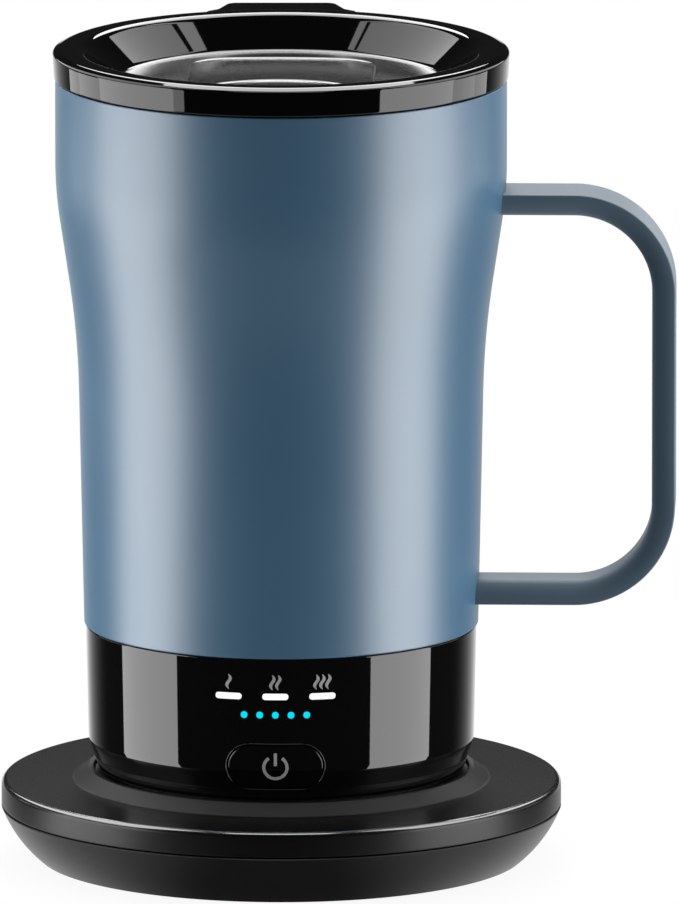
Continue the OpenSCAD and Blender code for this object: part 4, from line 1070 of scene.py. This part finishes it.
tree.links.new(lid_rough, tree.nodes["Principled BSDF"].inputs["Roughness"])
place_piece(lid, lid_gloss, "lid", "gloss_black", "lid_body")
dress(soft_grey, "lid_gasket")

# Slider
# A satin black plate that slides on the lid's floor, with bowed ends and a scooped thumb dish.
# Its leg goes through the floor to a retainer, and a soft seal under it closes the sip slot.
slider_low, slider_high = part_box("slider")
slider_half = slider_high.x
slider_under = 156.2 * MM
slider_top = 156.95 * MM
slider_lip_width = 0.8 * MM
slider_lip_depth = 0.3 * MM
slider_corner = 9 * MM
slider_bow = 75 * MM
slider_rise = 2.2 * MM
slider_edge = 0.2 * MM
dish_round = 18.4 * MM
dish_length = 15 * MM
dish_depth = 0.3 * MM
dish_slope = 0.7 * MM
dish_forward = 2.2 * MM
dish_cut = 3 * MM
leg_half, leg_front, leg_back = 4 * MM, -4.5 * MM, 0.5 * MM
leg_weld = 0.1 * MM
seal_low, seal_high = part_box("slider_seal")
seal_width, seal_length = seal_high.x - seal_low.x, seal_high.y - seal_low.y
seal_under = slider_under - 0.06 * MM
seal_top = slider_under + 0.1 * MM
seal_gap = 0.02 * MM
pocket_depth = 1 * MM
bow_slope = math.atan(slider_rise / slider_half)
bow_tip = slider_bow * (1 / math.cos(bow_slope) - 1)
slider_satin = finish(
    "slider_satin", (0.006, 0.006, 0.0065), 0.15, uneven=0.01, grain_size=0.25, relief=0.0001)
slider = plate("slide", rounded([
    (-slider_half, slider_low.y - bow_tip + slider_rise, slider_corner),
    (0, slider_low.y - bow_tip, slider_bow),
    (slider_half, slider_low.y - bow_tip + slider_rise, slider_corner),
    (slider_half, slider_high.y + bow_tip - slider_rise, slider_corner),
    (0, slider_high.y + bow_tip, slider_bow),
    (-slider_half, slider_high.y + bow_tip - slider_rise, slider_corner)]),
    slider_under, slider_top - slider_under)
round_edges(slider, slider_edge, lambda p: p.z > slider_top - near)
select_places(slider, lambda p: p.z > slider_top - near)
bpy.ops.mesh.inset(thickness=slider_lip_width, depth=-slider_lip_depth)
close_up()
dish_half = math.sqrt(dish_round ** 2 - (dish_round - dish_length / 2) ** 2)
dish_y = -dish_length / 2 - dish_forward
dish_top = slider_top - slider_lip_depth
dish = plate("dish", [
    *bulge((dish_half, dish_y), (-dish_half, dish_y), dish_round)[:-1],
    *bulge((-dish_half, dish_y), (dish_half, dish_y), dish_round)[:-1]],
    dish_top - dish_depth, dish_depth)
select_places(dish, lambda p: p.z < dish_top - dish_depth / 2)
bpy.ops.transform.resize(
    value=(1 - 2 * dish_slope / dish_half, 1 - 2 * dish_slope / dish_length, 1),
    center_override=(0, dish_y, 0))
select_places(dish, lambda p: p.z > dish_top - dish_depth / 2)
bpy.ops.mesh.extrude_region_move(TRANSFORM_OT_translate={"value": (0, 0, dish_cut)})
close_up()
combine(slider, dish)
leg = square_plate(
    "leg", leg_half, leg_front, leg_back, slider_low.z, slider_under + leg_weld - slider_low.z)
combine(slider, leg, "UNION")
seal_centre = Vector((0, (seal_low.y + seal_high.y) / 2, seal_top))
seal_pocket = pill_block(
    "seal_pocket", seal_width + 2 * seal_gap, seal_length + 2 * seal_gap,
    seal_centre + Vector((0, 0, seal_gap)), pocket_depth, False)
combine(slider, seal_pocket)
even_faces(slider)
place_piece(slider, slider_satin, "slider", "satin_black", "slider")
seal = pill_block("slide_seal", seal_width, seal_length, seal_centre, seal_top - seal_under, False)
bpy.ops.object.shade_smooth_by_angle(angle=smooth_turn)
place_piece(seal, soft_grey, "slider", "silicone", "slider_seal")
dress(plain_black, "slider_retainer")
